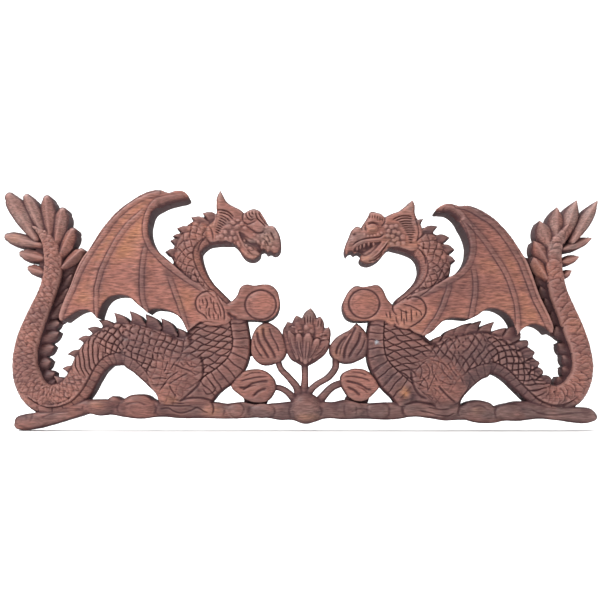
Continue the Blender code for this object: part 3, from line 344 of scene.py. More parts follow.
            (374.8, 235.4, 1.4, 1.2, 0), (378.2, 234.4, 1.5, 1.3, 0), (381.6, 232.8, 1.4, 1.4, 0),
            (384.2, 253.8, 1.7, 1.6, 0), (378.8, 258.8, 2, 1.5, 0), (373, 261.6, 1.8, 1.2, 0)]),
        (17.5, 2.4, [(357, 249.2, 1.1, 1.9, 10), (360.4, 247.4, 1, 1.8, 10), (364, 245.9, 1.1, 1.8, 10),
            (368.6, 244.6, 1.2, 1.7, 0), (373.2, 244.3, 1.2, 1.5, 0)]),
        (20.5, 0.8, [(354.5, 240, 3, 4, 20)])],
}
# Plates that join neighbouring parts: outline, height, tone.
joiningPlates = [
    ([(500, 334), (508, 328), (515.5, 326.5), (519.5, 329.3), (521, 334), (520.8, 340, 1), (527, 340.3),
        (529, 343), (528.3, 346.7, 1), (532, 349.5), (534.8, 352.3), (533.7, 354.8), (533.8, 357.7, 1),
        (537, 360.5), (539.5, 363.6), (538.8, 366.6, 1), (542, 369), (543.7, 371.8), (543, 374.8, 1),
        (548.6, 375.6), (552, 380), (545, 388), (530, 380), (516, 364), (504, 352), (499, 343)], 17.2, 0),
    ([(244, 396), (268, 396), (268, 400), (265, 405), (246, 405), (244, 400)], 11.5, 0.2),
    ([(347, 396), (368, 396), (366, 404.5), (347, 404.5)], 11.5, 0.2),
    ([(247, 341), (256, 341), (256, 354), (247, 354)], 11.5, 0.2),
    ([(37, 247), (47, 247), (47, 285), (41, 285), (41, 279), (38, 273.5), (35, 270.5), (34, 267),
        (39.5, 264), (36, 260)], 12.5, 0.3)]
lotusOutline = [(309.5, 309.5), (314, 313), (316, 318, 1), (320, 316.8), (322.5, 321), (325, 328, 1),
    (329.5, 328), (330.5, 336), (330, 344), (327, 352), (320, 358.5), (312, 363.5), (304, 366),
    (297, 362.5), (290, 358), (286, 350), (284, 340), (282.5, 331), (285.5, 325), (289, 322), (292, 323, 1),
    (294, 319), (298, 316.3), (302, 317.8, 1), (305, 312)]
lotusLeaves = {
    "upperLeft": [(267, 322), (274, 325), (280.5, 331), (284.5, 341), (286.5, 352), (283, 359), (275, 363),
        (265, 365), (256, 361.5), (251.5, 354), (251, 344), (253, 333), (259, 325)],
    "lowerLeft": [(230.5, 385.5, 1), (236, 377), (244, 371), (253, 369), (263, 370), (271, 375),
        (275.5, 383), (273.5, 394), (267, 401), (257, 402.5), (247, 400), (238, 394), (232.5, 389.5)],
    "upperRight": [(356.5, 322.5, 1), (350, 329), (341, 334), (333, 340.5), (329.5, 348), (331, 355),
        (338, 360.5), (347, 363.5), (358, 361), (366, 356), (369, 346), (367.5, 335), (362, 327)],
    "lowerRight": [(380, 387, 1), (375, 378), (368, 371), (358, 368.3), (348, 370), (341.5, 375),
        (341, 382), (344.5, 391), (351, 398.5), (358, 401.3), (367, 399.5), (375, 393)]}
lotusStems = [
    [(304.5, 362, 3.6), (305, 377, 3.4), (304, 398, 4.5)],
    [(277, 358, 3.2), (281, 369, 3.2), (289.5, 378, 3.4), (297, 388, 4), (300, 400, 5)],
    [(271, 387, 3), (280, 388, 3), (288, 392.5, 3.4), (298, 403, 5)],
    [(336, 358, 3.2), (335.5, 368, 3.4), (328, 377.5, 3.4), (318, 383.5, 3.2), (310, 391, 3.6),
        (306, 401, 5)],
    [(345, 382.5, 3.8), (334, 386, 3.8), (326.5, 392.5, 3.8), (317, 404, 5)]]
# Lotus petals: root, tip, half width, height, leaf shape and bow, from the back tier to the front one.
lotusPetals = [
    ((308.5, 331), (310.3, 308.6), 7.2, 18.6, "pointed", 0),
    ((300.5, 331), (296.5, 316), 5.8, 18.4, "short", 0),
    ((317, 334), (320.2, 317.2), 5.8, 18.4, "short", 0),
    ((294.5, 338), (287.5, 322.5), 6.4, 18.8, "short", 0),
    ((321.5, 345), (328.6, 327.6), 5.6, 18.8, "short", 0),
    ((298.5, 342), (297.6, 323.2), 5.4, 18.9, "petal", 0),
    ((318, 345), (319.6, 326.6), 5.2, 18.9, "petal", 0),
    ((308.6, 342), (308.8, 323.4), 6.4, 19.3, "petal", 0),
    ((297.6, 358), (289.6, 331.2), 4.3, 19.9, "petal", 0.1),
    ((313, 357.5), (326.8, 341.4), 5, 19.6, "petal", -0.12),
    ((302.2, 360), (298.3, 335), 4.5, 21, "petal", 0.05),
    ((308.6, 360), (317.7, 340.2), 4.4, 20.8, "petal", -0.06),
    ((305.3, 361.5), (308.2, 335.2), 5.1, 21.8, "petal", 0)]
baseOutline = [(13.3, 423), (15, 417.5), (22, 414.5), (31, 413), (50, 410), (85, 400), (97, 399),
    (106, 399.5), (112, 396), (117, 397), (121, 399), (129, 395.5), (138, 394), (147, 395.5), (153, 399.5),
    (165, 402), (214, 402), (225, 403.5), (240, 402), (255, 404.3), (275, 403), (290, 401.5), (320, 401.5),
    (335, 401.8), (345, 399.8), (352, 401), (362, 403.3), (385, 402.3), (400, 402.5), (457, 403),
    (463, 405.3), (470, 402.5), (476, 400), (485, 401), (491, 403), (496, 406.5), (503, 404.8),
    (513, 402.5), (522, 401), (550, 405), (577, 407), (590, 408), (596, 412), (598.5, 418), (596, 421),
    (560, 420.8), (540, 419), (530, 420), (518, 421.3), (505, 421), (495, 423), (480, 423.3), (468, 420.5),
    (457, 420.3), (445, 420.8), (430, 418.5), (412, 417), (400, 419), (385, 420), (365, 419), (345, 419.5),
    (325, 419), (314, 422.5), (305, 423.5), (297, 421.5), (289, 420), (282, 420.5), (265, 418),
    (245, 418.5), (225, 419), (205, 418.5), (180, 418.5), (160, 417), (140, 419), (125, 417.5), (110, 415),
    (100, 416), (87, 414), (75, 417.5), (60, 422), (45, 426.5), (30, 430), (18, 430), (13.8, 427.5)]
# Swellings of the strip: centre and half widths.
baseSwellings = [(99, 407, 15, 8), (137, 406, 16, 11), (236, 411, 11, 8), (262, 411, 12, 7.5),
    (350, 410, 14, 8.5), (378, 411, 13, 8), (478, 411, 17, 10.5), (510, 412, 14, 8), (30, 421, 15, 7)]
plantBumps = [(19, 0.9, [(301, 331.5, 2.6, 1.7, 0), (306.4, 327.6, 2.8, 2, 0),
    (312.2, 331.4, 2.6, 2.2, 0), (322.4, 334.6, 2.6, 1.5, -10), (324.6, 338.6, 2.8, 1.4, -10),
    (293.4, 326.6, 2.4, 1.2, 20), (296.6, 331.6, 1.8, 1.4, 40)])]
# Cuts between the right fins, on the plants and on the strip: height of the surface, half width, depth,
# then the paths.
plantCuts = [
    (17.2, 1.1, 1.7, [[(531, 345.5), (524, 348), (516, 352)], [(537, 356), (530, 359), (522, 363)],
        [(542, 365.3), (535, 368.5), (528, 373)], [(546, 373), (540, 376.5), (534, 381)], [(523.5, 338.5),
        (516, 342), (509, 346)], [(509, 325), (506, 331), (502, 337)]]),
    (18, 1.2, 1.1, [[(499, 337), (508, 345), (516, 353), (523, 364), (530, 376), (537, 386)], [(430, 349),
        (444, 343), (457, 337), (470, 334), (483, 332), (494, 334), (500, 338)]]),
    (19, 1.5, 1.7, [[(356.5, 326), (351, 337), (346.5, 346), (344.5, 354), (344.5, 360)], [(361, 331),
        (358.5, 341), (353, 350), (348.5, 358)], [(347, 335), (340.5, 343), (337, 350), (336.5, 356)],
        [(263, 326), (264, 336), (269.5, 346), (274, 354), (275.5, 359)], [(257, 331), (258.5, 340),
        (264, 350), (269.5, 359)], [(345, 381), (352, 382), (360, 384.5), (367, 389), (373, 389.5)],
        [(269, 381), (261, 381.5), (252.5, 383.5), (245, 387.5), (238, 387.5)], [(346.5, 386.5), (354, 390),
        (361, 396)], [(267, 388), (259, 391), (252, 397)]]),
    (19, 0.9, 1, [[(352, 330), (346, 339), (341.5, 347), (339.5, 356)], [(365.5, 338), (362.5, 348),
        (356.5, 356)], [(269, 327), (272, 336), (277, 345), (279, 352)], [(253.5, 338), (256, 348),
        (263, 358)], [(344.5, 376.5), (353, 376.5), (362, 378), (371, 381)], [(351, 372), (360, 372.6),
        (368, 375.5)], [(356, 386), (363, 389), (369, 394)], [(269, 376.5), (259, 377), (250, 378.5),
        (240, 381.5)], [(262, 372.5), (252, 373), (244, 376)], [(258, 385), (248, 387), (242, 391)]]),
    (18.6, 0.6, 1, [[(304.6, 316.5), (305, 324)], [(307.6, 315.5), (307.8, 324)], [(310.6, 315.5),
        (310.5, 324)], [(313.2, 317), (313, 324)], [(318.6, 320), (318, 327)], [(321.6, 320), (321, 328)],
        [(289, 327.6), (292, 325.6), (295.5, 326.4)], [(289.5, 330.5), (293, 333.5), (296.5, 335.5)],
        [(297, 331.5), (300, 330.4), (303, 331)], [(320, 336.5), (324, 335), (328, 336)], [(313, 339),
        (317, 338), (321, 339)], [(320, 341), (325, 340)]]),
    (21.5, 0.55, 0.75, [[(297.2, 341), (298.4, 349), (301.2, 357)], [(306.4, 341), (306, 350),
        (305.2, 359)], [(317.4, 345), (314.4, 352), (310, 358.5)], [(289.6, 337), (291.6, 346),
        (296, 355)], [(300.2, 341), (301, 349), (303, 357)], [(310, 341), (309.4, 350), (307.4, 358)],
        [(325.6, 346), (320.6, 352), (315, 356)]]),
    (18.5, 1.3, 0.6, [[(345, 404), (344, 410), (345.5, 417)], [(355.5, 405), (356.5, 410), (355, 417)],
        [(368.5, 405), (367, 411), (369, 417)], [(388.5, 404), (389.5, 410), (388, 417)], [(403, 405),
        (402, 411), (403.5, 416)], [(318, 404), (322, 411), (319, 418)], [(292, 404), (289, 411),
        (291, 418)], [(272, 405), (275, 411), (272.5, 418)], [(250, 406), (248.5, 412), (250, 417)],
        [(222, 406), (224.5, 411), (222, 417)], [(120, 402), (117, 408), (119, 414)], [(153, 402),
        (156, 409), (153, 416)], [(25, 411.5), (30.5, 412.5), (32.5, 417), (30, 422.5)], [(21, 417.5),
        (24, 415.6), (27, 417.6), (26, 421)], [(460, 406), (458, 412), (460, 418)], [(497, 407), (495, 413),
        (497, 420)], [(84, 404), (82, 409), (84, 413)]]),
    (18.5, 1, 0.6, [[(230, 404.5), (236, 402.6), (242, 405), (244, 410.5), (240, 416), (233, 416.5),
        (229, 412)], [(530, 409), (541, 413.5), (556, 415), (572, 413), (585, 412.5)], [(405, 416),
        (420, 417.5), (440, 417)], [(75, 411), (78, 409.5), (81, 410.5)], [(350, 412), (362, 408.5),
        (372, 412)], [(470, 408), (480, 405.5), (488, 410)], [(125, 405), (137, 402), (148, 406)],
        [(40, 418), (55, 413), (70, 411.5)]])]
# Rings cut round the paws' discs: centre, half widths, height of the surface, half width of the cut, depth.
pawRings = [(260.6, 304.6, 15.6, 14.6, 22.6, 1.1, 1.3), (364.4, 303.6, 15.4, 14.6, 22.6, 1.1, 1.3)]
# Tones of the four leaves and of the strip, from dark to red, and dark knots: centre and size.
leafTones = {"upperLeft": 0.45, "lowerLeft": 0.7, "upperRight": 0.2, "lowerRight": 0.95}
baseTone = 0.15
knots = [(222.5, 377.5, 1.9), (78.5, 409.5, 1.5)]
# Greyed and yellowed places: centre, half widths, share.
greyed = [(270, 236, 13, 13, 0.62), (393, 234, 10, 9, 0.3), (219, 193, 4, 8, 0.6), (250, 214, 8, 6, 0.35),
    (253, 254, 10, 7, 0.3), (251, 243, 9, 5, 0.6), (364, 250, 9, 5, 0.35), (230, 229, 9, 9, 0.25),
    (24, 215, 26, 28, 0.5), (20, 240, 18, 14, 0.45), (62, 215, 14, 22, 0.35), (222, 222, 9, 9, 0.25),
    (357, 236, 11, 13, 0.4), (409, 204, 5, 8, 0.7), (583, 213, 20, 24, 0.75), (546, 222, 16, 22, 0.55),
    (566, 244, 24, 14, 0.5), (370, 260, 9, 7, 0.35), (408, 226, 8, 9, 0.3), (565, 412, 50, 10, 0.36),
    (480, 412, 50, 10, 0.3), (400, 412, 45, 9, 0.28), (345, 411, 26, 9, 0.26), (306, 412, 17, 10, 0.35),
    (262, 411, 28, 9, 0.25), (215, 411, 32, 9, 0.2), (45, 418, 30, 9, 0.2), (308, 312, 9, 6, 0.4)]
yellowed = [(404, 392, 6, 6, 0.45), (337, 354, 5, 6, 0.25), (212, 411, 9, 5, 0.3), (308, 417, 12, 4, 0.25),
    (186, 302, 9, 10, 0.25), (170, 400, 9, 5, 0.25), (368, 259, 8, 4, 0.25), (392, 240, 8, 8, 0.18),
    (268, 242, 8, 8, 0.15), (262, 330, 7, 7, 0.22), (373, 230, 4, 4, 0.25), (98, 404, 8, 4, 0.2),
    (478, 411, 8, 5, 0.12), (12, 237, 7, 4, 0.3)]
# Widths of a leaf from root to tip: place along the leaf, share of the half width.
leafWidths = {
    "blunt": [(0, 0.5), (0.22, 0.76), (0.45, 0.96), (0.66, 1), (0.81, 0.96), (0.91, 0.8), (0.96, 0.6)],
    "pointed": [(0, 0.5), (0.28, 0.86), (0.52, 1), (0.74, 0.84), (0.9, 0.46), (1, 0.08)],
    "short": [(0, 0.75), (0.35, 1), (0.65, 0.92), (0.88, 0.55), (1, 0.12)],
    "petal": [(0, 0.5), (0.15, 0.72), (0.4, 0.94), (0.66, 1), (0.82, 0.98), (0.91, 0.84), (0.95, 0.68)]}


# Each side of an outline is a cubic curve. At a soft point its slope halves the turn, at a corner it follows
# the side.
def smoothOutline(points, steps=5):
    spots = np.array([point[:2] for point in points], dtype=float)
    corner = np.array([len(point) > 2 for point in points])[:, None]
    side = np.roll(spots, -1, axis=0) - spots
    size = np.hypot(side[:, 0], side[:, 1])[:, None]
    lean = side / size + np.roll(side / size, 1, axis=0)
    lean /= np.hypot(lean[:, 0], lean[:, 1])[:, None]
    start = np.where(corner, side, 1.17 * size * lean)
    finish = np.where(np.roll(corner, -1, axis=0), side, 1.17 * size * np.roll(lean, -1, axis=0))
    t = (np.arange(steps) / steps)[None, :, None]
    curve = (spots[:, None] * (2 * t ** 3 - 3 * t ** 2 + 1) + start[:, None] * (t ** 3 - 2 * t ** 2 + t)
             + np.roll(spots, -1, axis=0)[:, None] * (3 * t ** 2 - 2 * t ** 3)
             + finish[:, None] * (t ** 3 - t ** 2))
    return curve.reshape(-1, 2)


# A smooth curve through every row: half of 2b + (c - a)t + (2a - 5b + 4c - d)t^2 + (3b - a - 3c + d)t^3.
def smoothPath(rows, steps=4):
    rows = np.array(rows, dtype=float)
    padded = np.vstack([2 * rows[0] - rows[1], rows, 2 * rows[-1] - rows[-2]])
    a, b, c, d = padded[:-3, None], padded[1:-2, None], padded[2:-1, None], padded[3:, None]
    t = (np.arange(steps) / steps)[None, :, None]
    path = 0.5 * (2 * b + (c - a) * t + (2 * a - 5 * b + 4 * c - d) * t ** 2
                  + (3 * b - a - 3 * c + d) * t ** 3)
    return np.vstack([path.reshape(-1, rows.shape[1]), rows[-1]])


# The same curve through points that have no half width of their own.
def plainPath(points):
    return smoothPath([(point[0], point[1], 1.0) for point in points])


# Distance to the nearest side of a closed outline, positive inside, where a level ray crosses an odd number
# of sides.
def insideDistance(x, y, outline):
    nearest = np.full(x.shape, 1e9)
    inside = np.zeros(x.shape, dtype=bool)
    for (ax, ay), (bx, by) in zip(outline, np.roll(outline, -1, axis=0)):
        dx, dy = bx - ax, by - ay
        t = np.clip(((x - ax) * dx + (y - ay) * dy) / max(dx * dx + dy * dy, 1e-9), 0.0, 1.0)
        np.minimum(nearest, (x - ax - t * dx) ** 2 + (y - ay - t * dy) ** 2, out=nearest)
        if ay != by:
            inside ^= ((y < ay) != (y < by)) & (x < ax + (y - ay) * dx / dy)
    return np.where(inside, 1.0, -1.0) * np.sqrt(nearest)


# For every grid point: distance along a path, signed distance from it, and the path's own third value at
# that place.
def alongPath(x, y, path):
    nearest = np.full(x.shape, 1e9)
    along, aside, width = (np.zeros(x.shape) for _ in range(3))
    start = 0.0
    for (ax, ay, aw), (bx, by, bw) in zip(path[:-1], path[1:]):
        dx, dy = bx - ax, by - ay
        length = math.hypot(dx, dy)
        t = np.clip(((x - ax) * dx + (y - ay) * dy) / max(length * length, 1e-9), 0.0, 1.0)
        px, py = x - ax - t * dx, y - ay - t * dy
        gap = px * px + py * py
        closer = gap < nearest
        nearest = np.where(closer, gap, nearest)
        along = np.where(closer, start + t * length, along)
        aside = np.where(closer, np.sign(dx * py - dy * px), aside)
        width = np.where(closer, aw + (bw - aw) * t, width)
        start += length
    return along, aside * np.sqrt(nearest), width


# Smooth noise from -1 to 1: random values on a lattice this many units apart, joined by eased steps.
def wander(x, y, size, seed):
    lattice = np.random.default_rng(seed).uniform(-1.0, 1.0, (128, 128))
    u, v = x / size + 40.0, y / size + 40.0
    i, j = np.floor(u).astype(int), np.floor(v).astype(int)
    s, t = u - i, v - j
    s, t = s * s * (3 - 2 * s), t * t * (3 - 2 * t)
    i, j, k, m = i % 128, j % 128, (i + 1) % 128, (j + 1) % 128
    return ((lattice[i, j] * (1 - s) + lattice[k, j] * s) * (1 - t)
            + (lattice[i, m] * (1 - s) + lattice[k, m] * s) * t)


# An eased step from 0 at low to 1 at high.
def ramp(value, low, high):
    t = np.clip((value - low) / (high - low), 0.0, 1.0)
    return t * t * (3 - 2 * t)


# Bars across a measure: 1 on the crown of each bar and 0 in the cut between two.
def bars(measure, pitch, power=3.0):
    return 1.0 - np.abs(2.0 * (measure / pitch - np.floor(measure / pitch)) - 1.0) ** power


# Cuts across a measure, one in each pitch: exp(-(distance from the middle of the cut / width)^2).
def slits(measure, pitch, width):
    away = (measure / pitch - np.round(measure / pitch)) * pitch / width
    return np.exp(-away * away)


# A fixed random value from 0 to 1 for each pair of whole numbers.
def chance(i, j, seed):
    table = np.random.default_rng(seed).uniform(0.0, 1.0, (64, 64))
    return table[i.astype(int) % 64, j.astype(int) % 64]


# Overlapping rounded scales in staggered rows: each rises steeply behind its curved tip and sinks towards its
# root. Every scale has its own length and height, since each is cut by hand.
def scaleRows(along, aside, rowPitch, columnPitch):
    best = np.zeros(along.shape)
    for ahead in (-1, 0, 1, 2):
        row = np.floor(along / rowPitch) + ahead
        place = aside / columnPitch - 0.5 * (row % 2) - 0.25 * chance(row, row * 0 + 7, 61)
        column = np.round(place)
        q = 2.0 * (place - column)
        longer = 0.5 * rowPitch * (chance(row, column, 62) - 0.5)
        curve = np.sqrt(np.clip(1.0 - 0.92 * q * q, 0.0, 1.0)) - 0.3
        tip = row * rowPitch + longer + 0.95 * rowPitch * curve
        back = tip - along
        sinking = 1.0 - 0.85 * np.clip(back / (2.1 * rowPitch), 0.0, 1.0)
        scale = ramp(back, 0.0, 1.0) * sinking * (1 - 0.45 * q * q)
        best = np.maximum(best, scale * (0.75 + 0.45 * chance(column, row, 63)))
    return best


# Lozenges between two sets of slanting cuts: a pillow of its own height in each, less the depth of the cuts.
def lozenges(first, second, pillow, depth, width):
    own = 0.6 + 0.7 * chance(np.floor(first), np.floor(second), 64)
    pillows = pillow * own * bars(first, 1.0, 2.2) * bars(second, 1.0, 2.2)
    return pillows - depth * np.maximum(slits(first, 1.0, width), slits(second, 1.0, width))


# The carving is a height over an even grid of places on the wall, with the signed distance inside its
# outline.
acrossLine = np.arange(1000.0 * cadLow.x - 4.0, 1000.0 * cadHigh.x + 4.0, carving["step"])
upLine = np.arange(1000.0 * cadLow.z - 4.0, 1000.0 * cadHigh.z + 4.0, carving["step"])
gridShape = (len(upLine), len(acrossLine))
surface = {"height": np.full(gridShape, -90.0), "inside": np.full(gridShape, -90.0),
           "warm": np.zeros(gridShape)}


# The stretch of grid inside a rectangle of the sheet, with the sheet's x and y of each grid point. A point at
# a height is drawn at x = viewX + (X / square + originX - viewX) / reach, where
# reach = (distance + depth - height) / distance.
def openWindow(height, low, high, margin=5.0):
    reach = (sheet["viewDistance"] + sheet["depth"] - height) / sheet["viewDistance"]
    x = sheet["viewX"] + (acrossLine / sheet["square"] + sheet["originX"] - sheet["viewX"]) / reach
    y = sheet["viewY"] + (sheet["originY"] - upLine / sheet["square"] - sheet["viewY"]) / reach
    columns = slice(*np.searchsorted(x, [low[0] - margin, high[0] + margin]))
    rows = slice(*(len(y) - np.searchsorted(y[::-1], [high[1] + margin, low[1] - margin])))
    across, down = np.meshgrid(x[columns], y[rows])
    return (rows, columns), across, down


# The stretch of grid round a place of the sheet, this far to each side.
def windowRound(height, x0, y0, reachX, reachY, margin):
    return openWindow(height, (x0 - reachX, y0 - reachY), (x0 + reachX, y0 + reachY), margin)


# Place in an oval's own axes, where its edge is at 1: the offset from its centre, turned back and divided by
# the half widths.
def ovalPlace(x, y, x0, y0, halfWidth, halfHeight, turn):
    c, s = math.cos(math.radians(turn)), math.sin(math.radians(turn))
    return ((x - x0) * c + (y - y0) * s) / halfWidth, ((y - y0) * c - (x - x0) * s) / halfHeight


# A rim rounded as a quarter circle, this wide and this deep; beyond it the side falls away ever more steeply.
def rim(inside, width, drop):
    t = 1.0 - np.clip(inside / width, 0.0, 1.0)
    beyond = np.clip(-inside, 0.0, 6.0)
    return -drop * (1.0 - np.sqrt(1.0 - t * t)) - 4.0 * beyond - 6.0 * beyond ** 2


# The higher surface wins; melt rounds the crease between the two, and the outline takes in the new shape.
def lay(spot, height, inside, warm, melt=0.0):
    before = surface["height"][spot]
    wins = height > before
    top = np.maximum(height, before)
    if melt:
        close = np.clip(1.0 - np.abs(height - before) / melt, 0.0, 1.0)
        top = top + melt * close ** 3 / 6.0
    surface["height"][spot] = top
    surface["warm"][spot] = np.where(wins, warm, surface["warm"][spot])
    surface["inside"][spot] = np.maximum(surface["inside"][spot], inside)


# Rims of the plates: width and depth of the rounding, and within what height a plate melts into the next.
rims = {"joining": (2.0, 1.4, 0.0), "web": (1.0, 0.5, 0.0), "fin": (2.4, 1.9, 0.0), "torso": (13.0, 5.2, 2.5),
        "thigh": (14.0, 2.4, 4.0), "foot": (5.0, 3.0, 3.0), "head": (4.5, 3.0, 0.8), "paw": (4.5, 2.8, 1.5),
        "wing": (2.6, 1.6, 0.0), "arm": (7.0, 2.6, 2.5), "lotus": (3.0, 2.2, 0.0), "leaf": (5.0, 3.0, 0.0),
        "base": (5.5, 3.4, 0.0)}


# A plate with this outline and one of the rims; detail adds to its height from x, y and the distance inside.
def layPlate(outline, top, kind, warm, detail=None):
    rimWidth, drop, melt = rims[kind]
    drawn = smoothOutline(outline)
    spot, x, y = openWindow(top, drawn.min(axis=0), drawn.max(axis=0))
    inside = insideDistance(x, y, drawn) * sheet["square"]
    height = top + rim(inside, rimWidth, drop)
    if detail is not None:
        height = height + detail(x, y, inside)
    lay(spot, height, inside, warm(x, y) if callable(warm) else warm, melt)


# A strand along a path of (x, y, half width): its top sinks from the crown by
# rise * share of the half width ^ power, or without a power as a quarter of an ellipse.
def layStrand(rows, top, rise, warm, melt=0.0, power=None, detail=None, steps=4):
    path = smoothPath(rows, steps)
    widest = path[:, 2].max()
    spot, x, y = openWindow(top - rise, path[:, :2].min(axis=0) - widest, path[:, :2].max(axis=0) + widest)
    along, aside, width = alongPath(x, y, path)
    inside = (width - np.abs(aside)) * sheet["square"]
    share = np.clip(np.abs(aside) / width, 0.0, 1.0)
    crown = rise * (share ** power if power else 1.0 - np.sqrt(1.0 - share * share))
    height = top - crown + rim(inside, 0.1, 0.0)
    if detail is not None:
        height = height + detail(along, aside, width, x, y)
    lay(spot, height, inside, warm(along) if callable(warm) else warm, melt)


# A leaf from root to tip with the half widths of one of the leaf shapes; a shallow ridge follows its middle,
# bow bends it and tilt lowers one side.
def layLeaf(root, tip, halfWidth, top, rise, kind, warm, power=1.8, middle=0.0, bow=0.0, tilt=0.0):
    (ax, ay), (bx, by) = root, tip
    rows = [(ax + (bx - ax) * s - (by - ay) * bow * s * (1 - s),
             ay + (by - ay) * s + (bx - ax) * bow * s * (1 - s), halfWidth * w) for s, w in leafWidths[kind]]

    def detail(along, aside, width, x, y):
        fullness = ramp(width, 0.1 * halfWidth, 0.7 * halfWidth)
        ridge = middle * np.exp(-(aside / (0.16 * halfWidth + 0.4)) ** 2) * fullness
        return ridge + tilt * np.clip(aside / halfWidth, -1.0, 1.0)

    layStrand(rows, top, rise, warm, power=power, detail=detail, steps=3)


# A back fin like a breaking wave: a long bulging side and a short hollow one that meet in a sharp tip.
def layFin(root, tip, halfWidth, lean, top, warm, bases=(1.30, 0.90), blunt=False):
    base, point = np.array(root, dtype=float), np.array(tip, dtype=float)
    length = np.hypot(*(point - base))
    up = (point - base) / length
    side = np.array([-up[1], up[0]]) * lean
    long, short = base + bases[0] * halfWidth * side, base - bases[1] * halfWidth * side
    outline = [tuple(long - 4.0 * up), tuple(long), tuple(0.5 * (long + point) + 0.20 * length * side),
               tuple(point) if blunt else (*point, 1),
               tuple(0.5 * (short + point) + 0.14 * length * side), tuple(short), tuple(short - 4.0 * up)]

    def detail(x, y, inside):
        across = (x - point[0]) * side[0] + (y - point[1]) * side[1]
        inward = (x - point[0]) * -up[0] + (y - point[1]) * -up[1]
        return 0.20 * across - 1.6 * ramp(inward, 0.40 * length, 1.1 * length)

    layPlate(outline, top, "fin", warm, detail)


# An egg-shaped swelling: foot + (top - foot) * sqrt(1 - r^2) inside its outline.
def layDome(x0, y0, halfWidth, halfHeight, foot, top, warm, melt=0.0, turn=0.0):
    reachOut = max(halfWidth, halfHeight)
    spot, x, y = windowRound(top, x0, y0, reachOut, reachOut, margin=5.0)
    r = np.hypot(*ovalPlace(x, y, x0, y0, halfWidth, halfHeight, turn))
    inside = (1.0 - r) * min(halfWidth, halfHeight) * sheet["square"]
    height = np.where(r < 1.0, foot + (top - foot) * np.sqrt(np.clip(1.0 - r * r, 0.0, 1.0)), -90.0)
    lay(spot, height, inside, warm, melt)


# A cut along a path, depth * exp(-(aside / width)^2) deep and thinning out at both ends; a negative depth
# raises a bead.
def cut(points, height, width, depth):
    path = plainPath(points)
    fade = min(4.0, 4.0 * width)
    low, high = path[:, :2].min(axis=0), path[:, :2].max(axis=0)
    spot, x, y = openWindow(height, low, high, margin=3.0 * width + 1.0)
    along, aside, _ = alongPath(x, y, path)
    total = np.hypot(*np.diff(path[:, :2], axis=0).T).sum()
    thin = ramp(np.minimum(along, total - along), -0.35 * fade, fade)
    surface["height"][spot] -= depth * np.exp(-(aside / width) ** 2) * thin


# A raised or sunk oval: rise * exp(-r^4), so it has a flat middle and soft sides.
def press(x0, y0, halfWidth, halfHeight, height, rise, turn):
    reachOut = 1.6 * max(halfWidth, halfHeight)
    spot, x, y = windowRound(height, x0, y0, reachOut, reachOut, margin=1.0)
    u, v = ovalPlace(x, y, x0, y0, halfWidth, halfHeight, turn)
    surface["height"][spot] += rise * np.exp(-(u * u + v * v) ** 2)


# A hollow inside an outline: depth is reached softly, this many millimetres in from its edge.
def sink(outline, height, depth, softness):
    drawn = smoothOutline(outline)
    spot, x, y = openWindow(height, drawn.min(axis=0), drawn.max(axis=0), margin=1.0)
    surface["height"][spot] -= depth * ramp(insideDistance(x, y, drawn) * sheet["square"], -0.2, softness)


# An oval groove: depth * exp(-(distance from the oval / width)^2).
def cutRing(x0, y0, halfWidth, halfHeight, height, width, depth):
    reachOut = max(halfWidth, halfHeight) + 3.0 * width
    spot, x, y = windowRound(height, x0, y0, reachOut, reachOut, margin=1.0)
    away = (np.hypot((x - x0) / halfWidth, (y - y0) / halfHeight) - 1.0) * min(halfWidth, halfHeight)
    surface["height"][spot] -= depth * np.exp(-(away / width) ** 2)


# Distance along a path at each of its control points.
def reachesOf(rows, steps=4):
    path = smoothPath(rows, steps)
    lengths = np.concatenate([[0.0], np.cumsum(np.hypot(*np.diff(path[:, :2], axis=0).T))])
    return lengths[::steps]


# Bands of the skin: pitch of their cuts, width and depth of a cut, and how high the bands stand.
bandKinds = {"tail": (8.6, 0.65, 0.55, 0.5), "belly": (8.6, 0.65, 0.5, 0.5), "chest": (7.0, 0.75, 1.1, 0.9),
             "throat": (6.5, 0.6, 0.25, 0.4)}
# Lozenges of the skin: height of a pillow, depth of the cuts between them, and width of a cut as a share.
lozengeKinds = {"tail": (1.2, 0.7, 0.10), "body": (1.3, 1.0, 0.085), "chest": (0.8, 1.0, 0.085),
                "flank": (0.9, 0.9, 0.085), "neck": (1.2, 1.0, 0.075)}
# Wings: half widths of a rib and of the arm bone, how far they stand out, the fine cuts beside them, and how
# far the skin sags.
wingLook = {"ribHalf": 2.1, "armHalf": 3.0, "rise": 0.45, "cutDepth": 0.70, "cutAway": 0.5, "cutWidth": 0.65,
            "sag": 0.9}


# Bands of one kind across a measure: their height less the depth of the cuts.
def bandsOf(kind, measure):
    pitch, width, depth, level = bandKinds[kind]
    return level - depth * slits(measure, pitch, width)


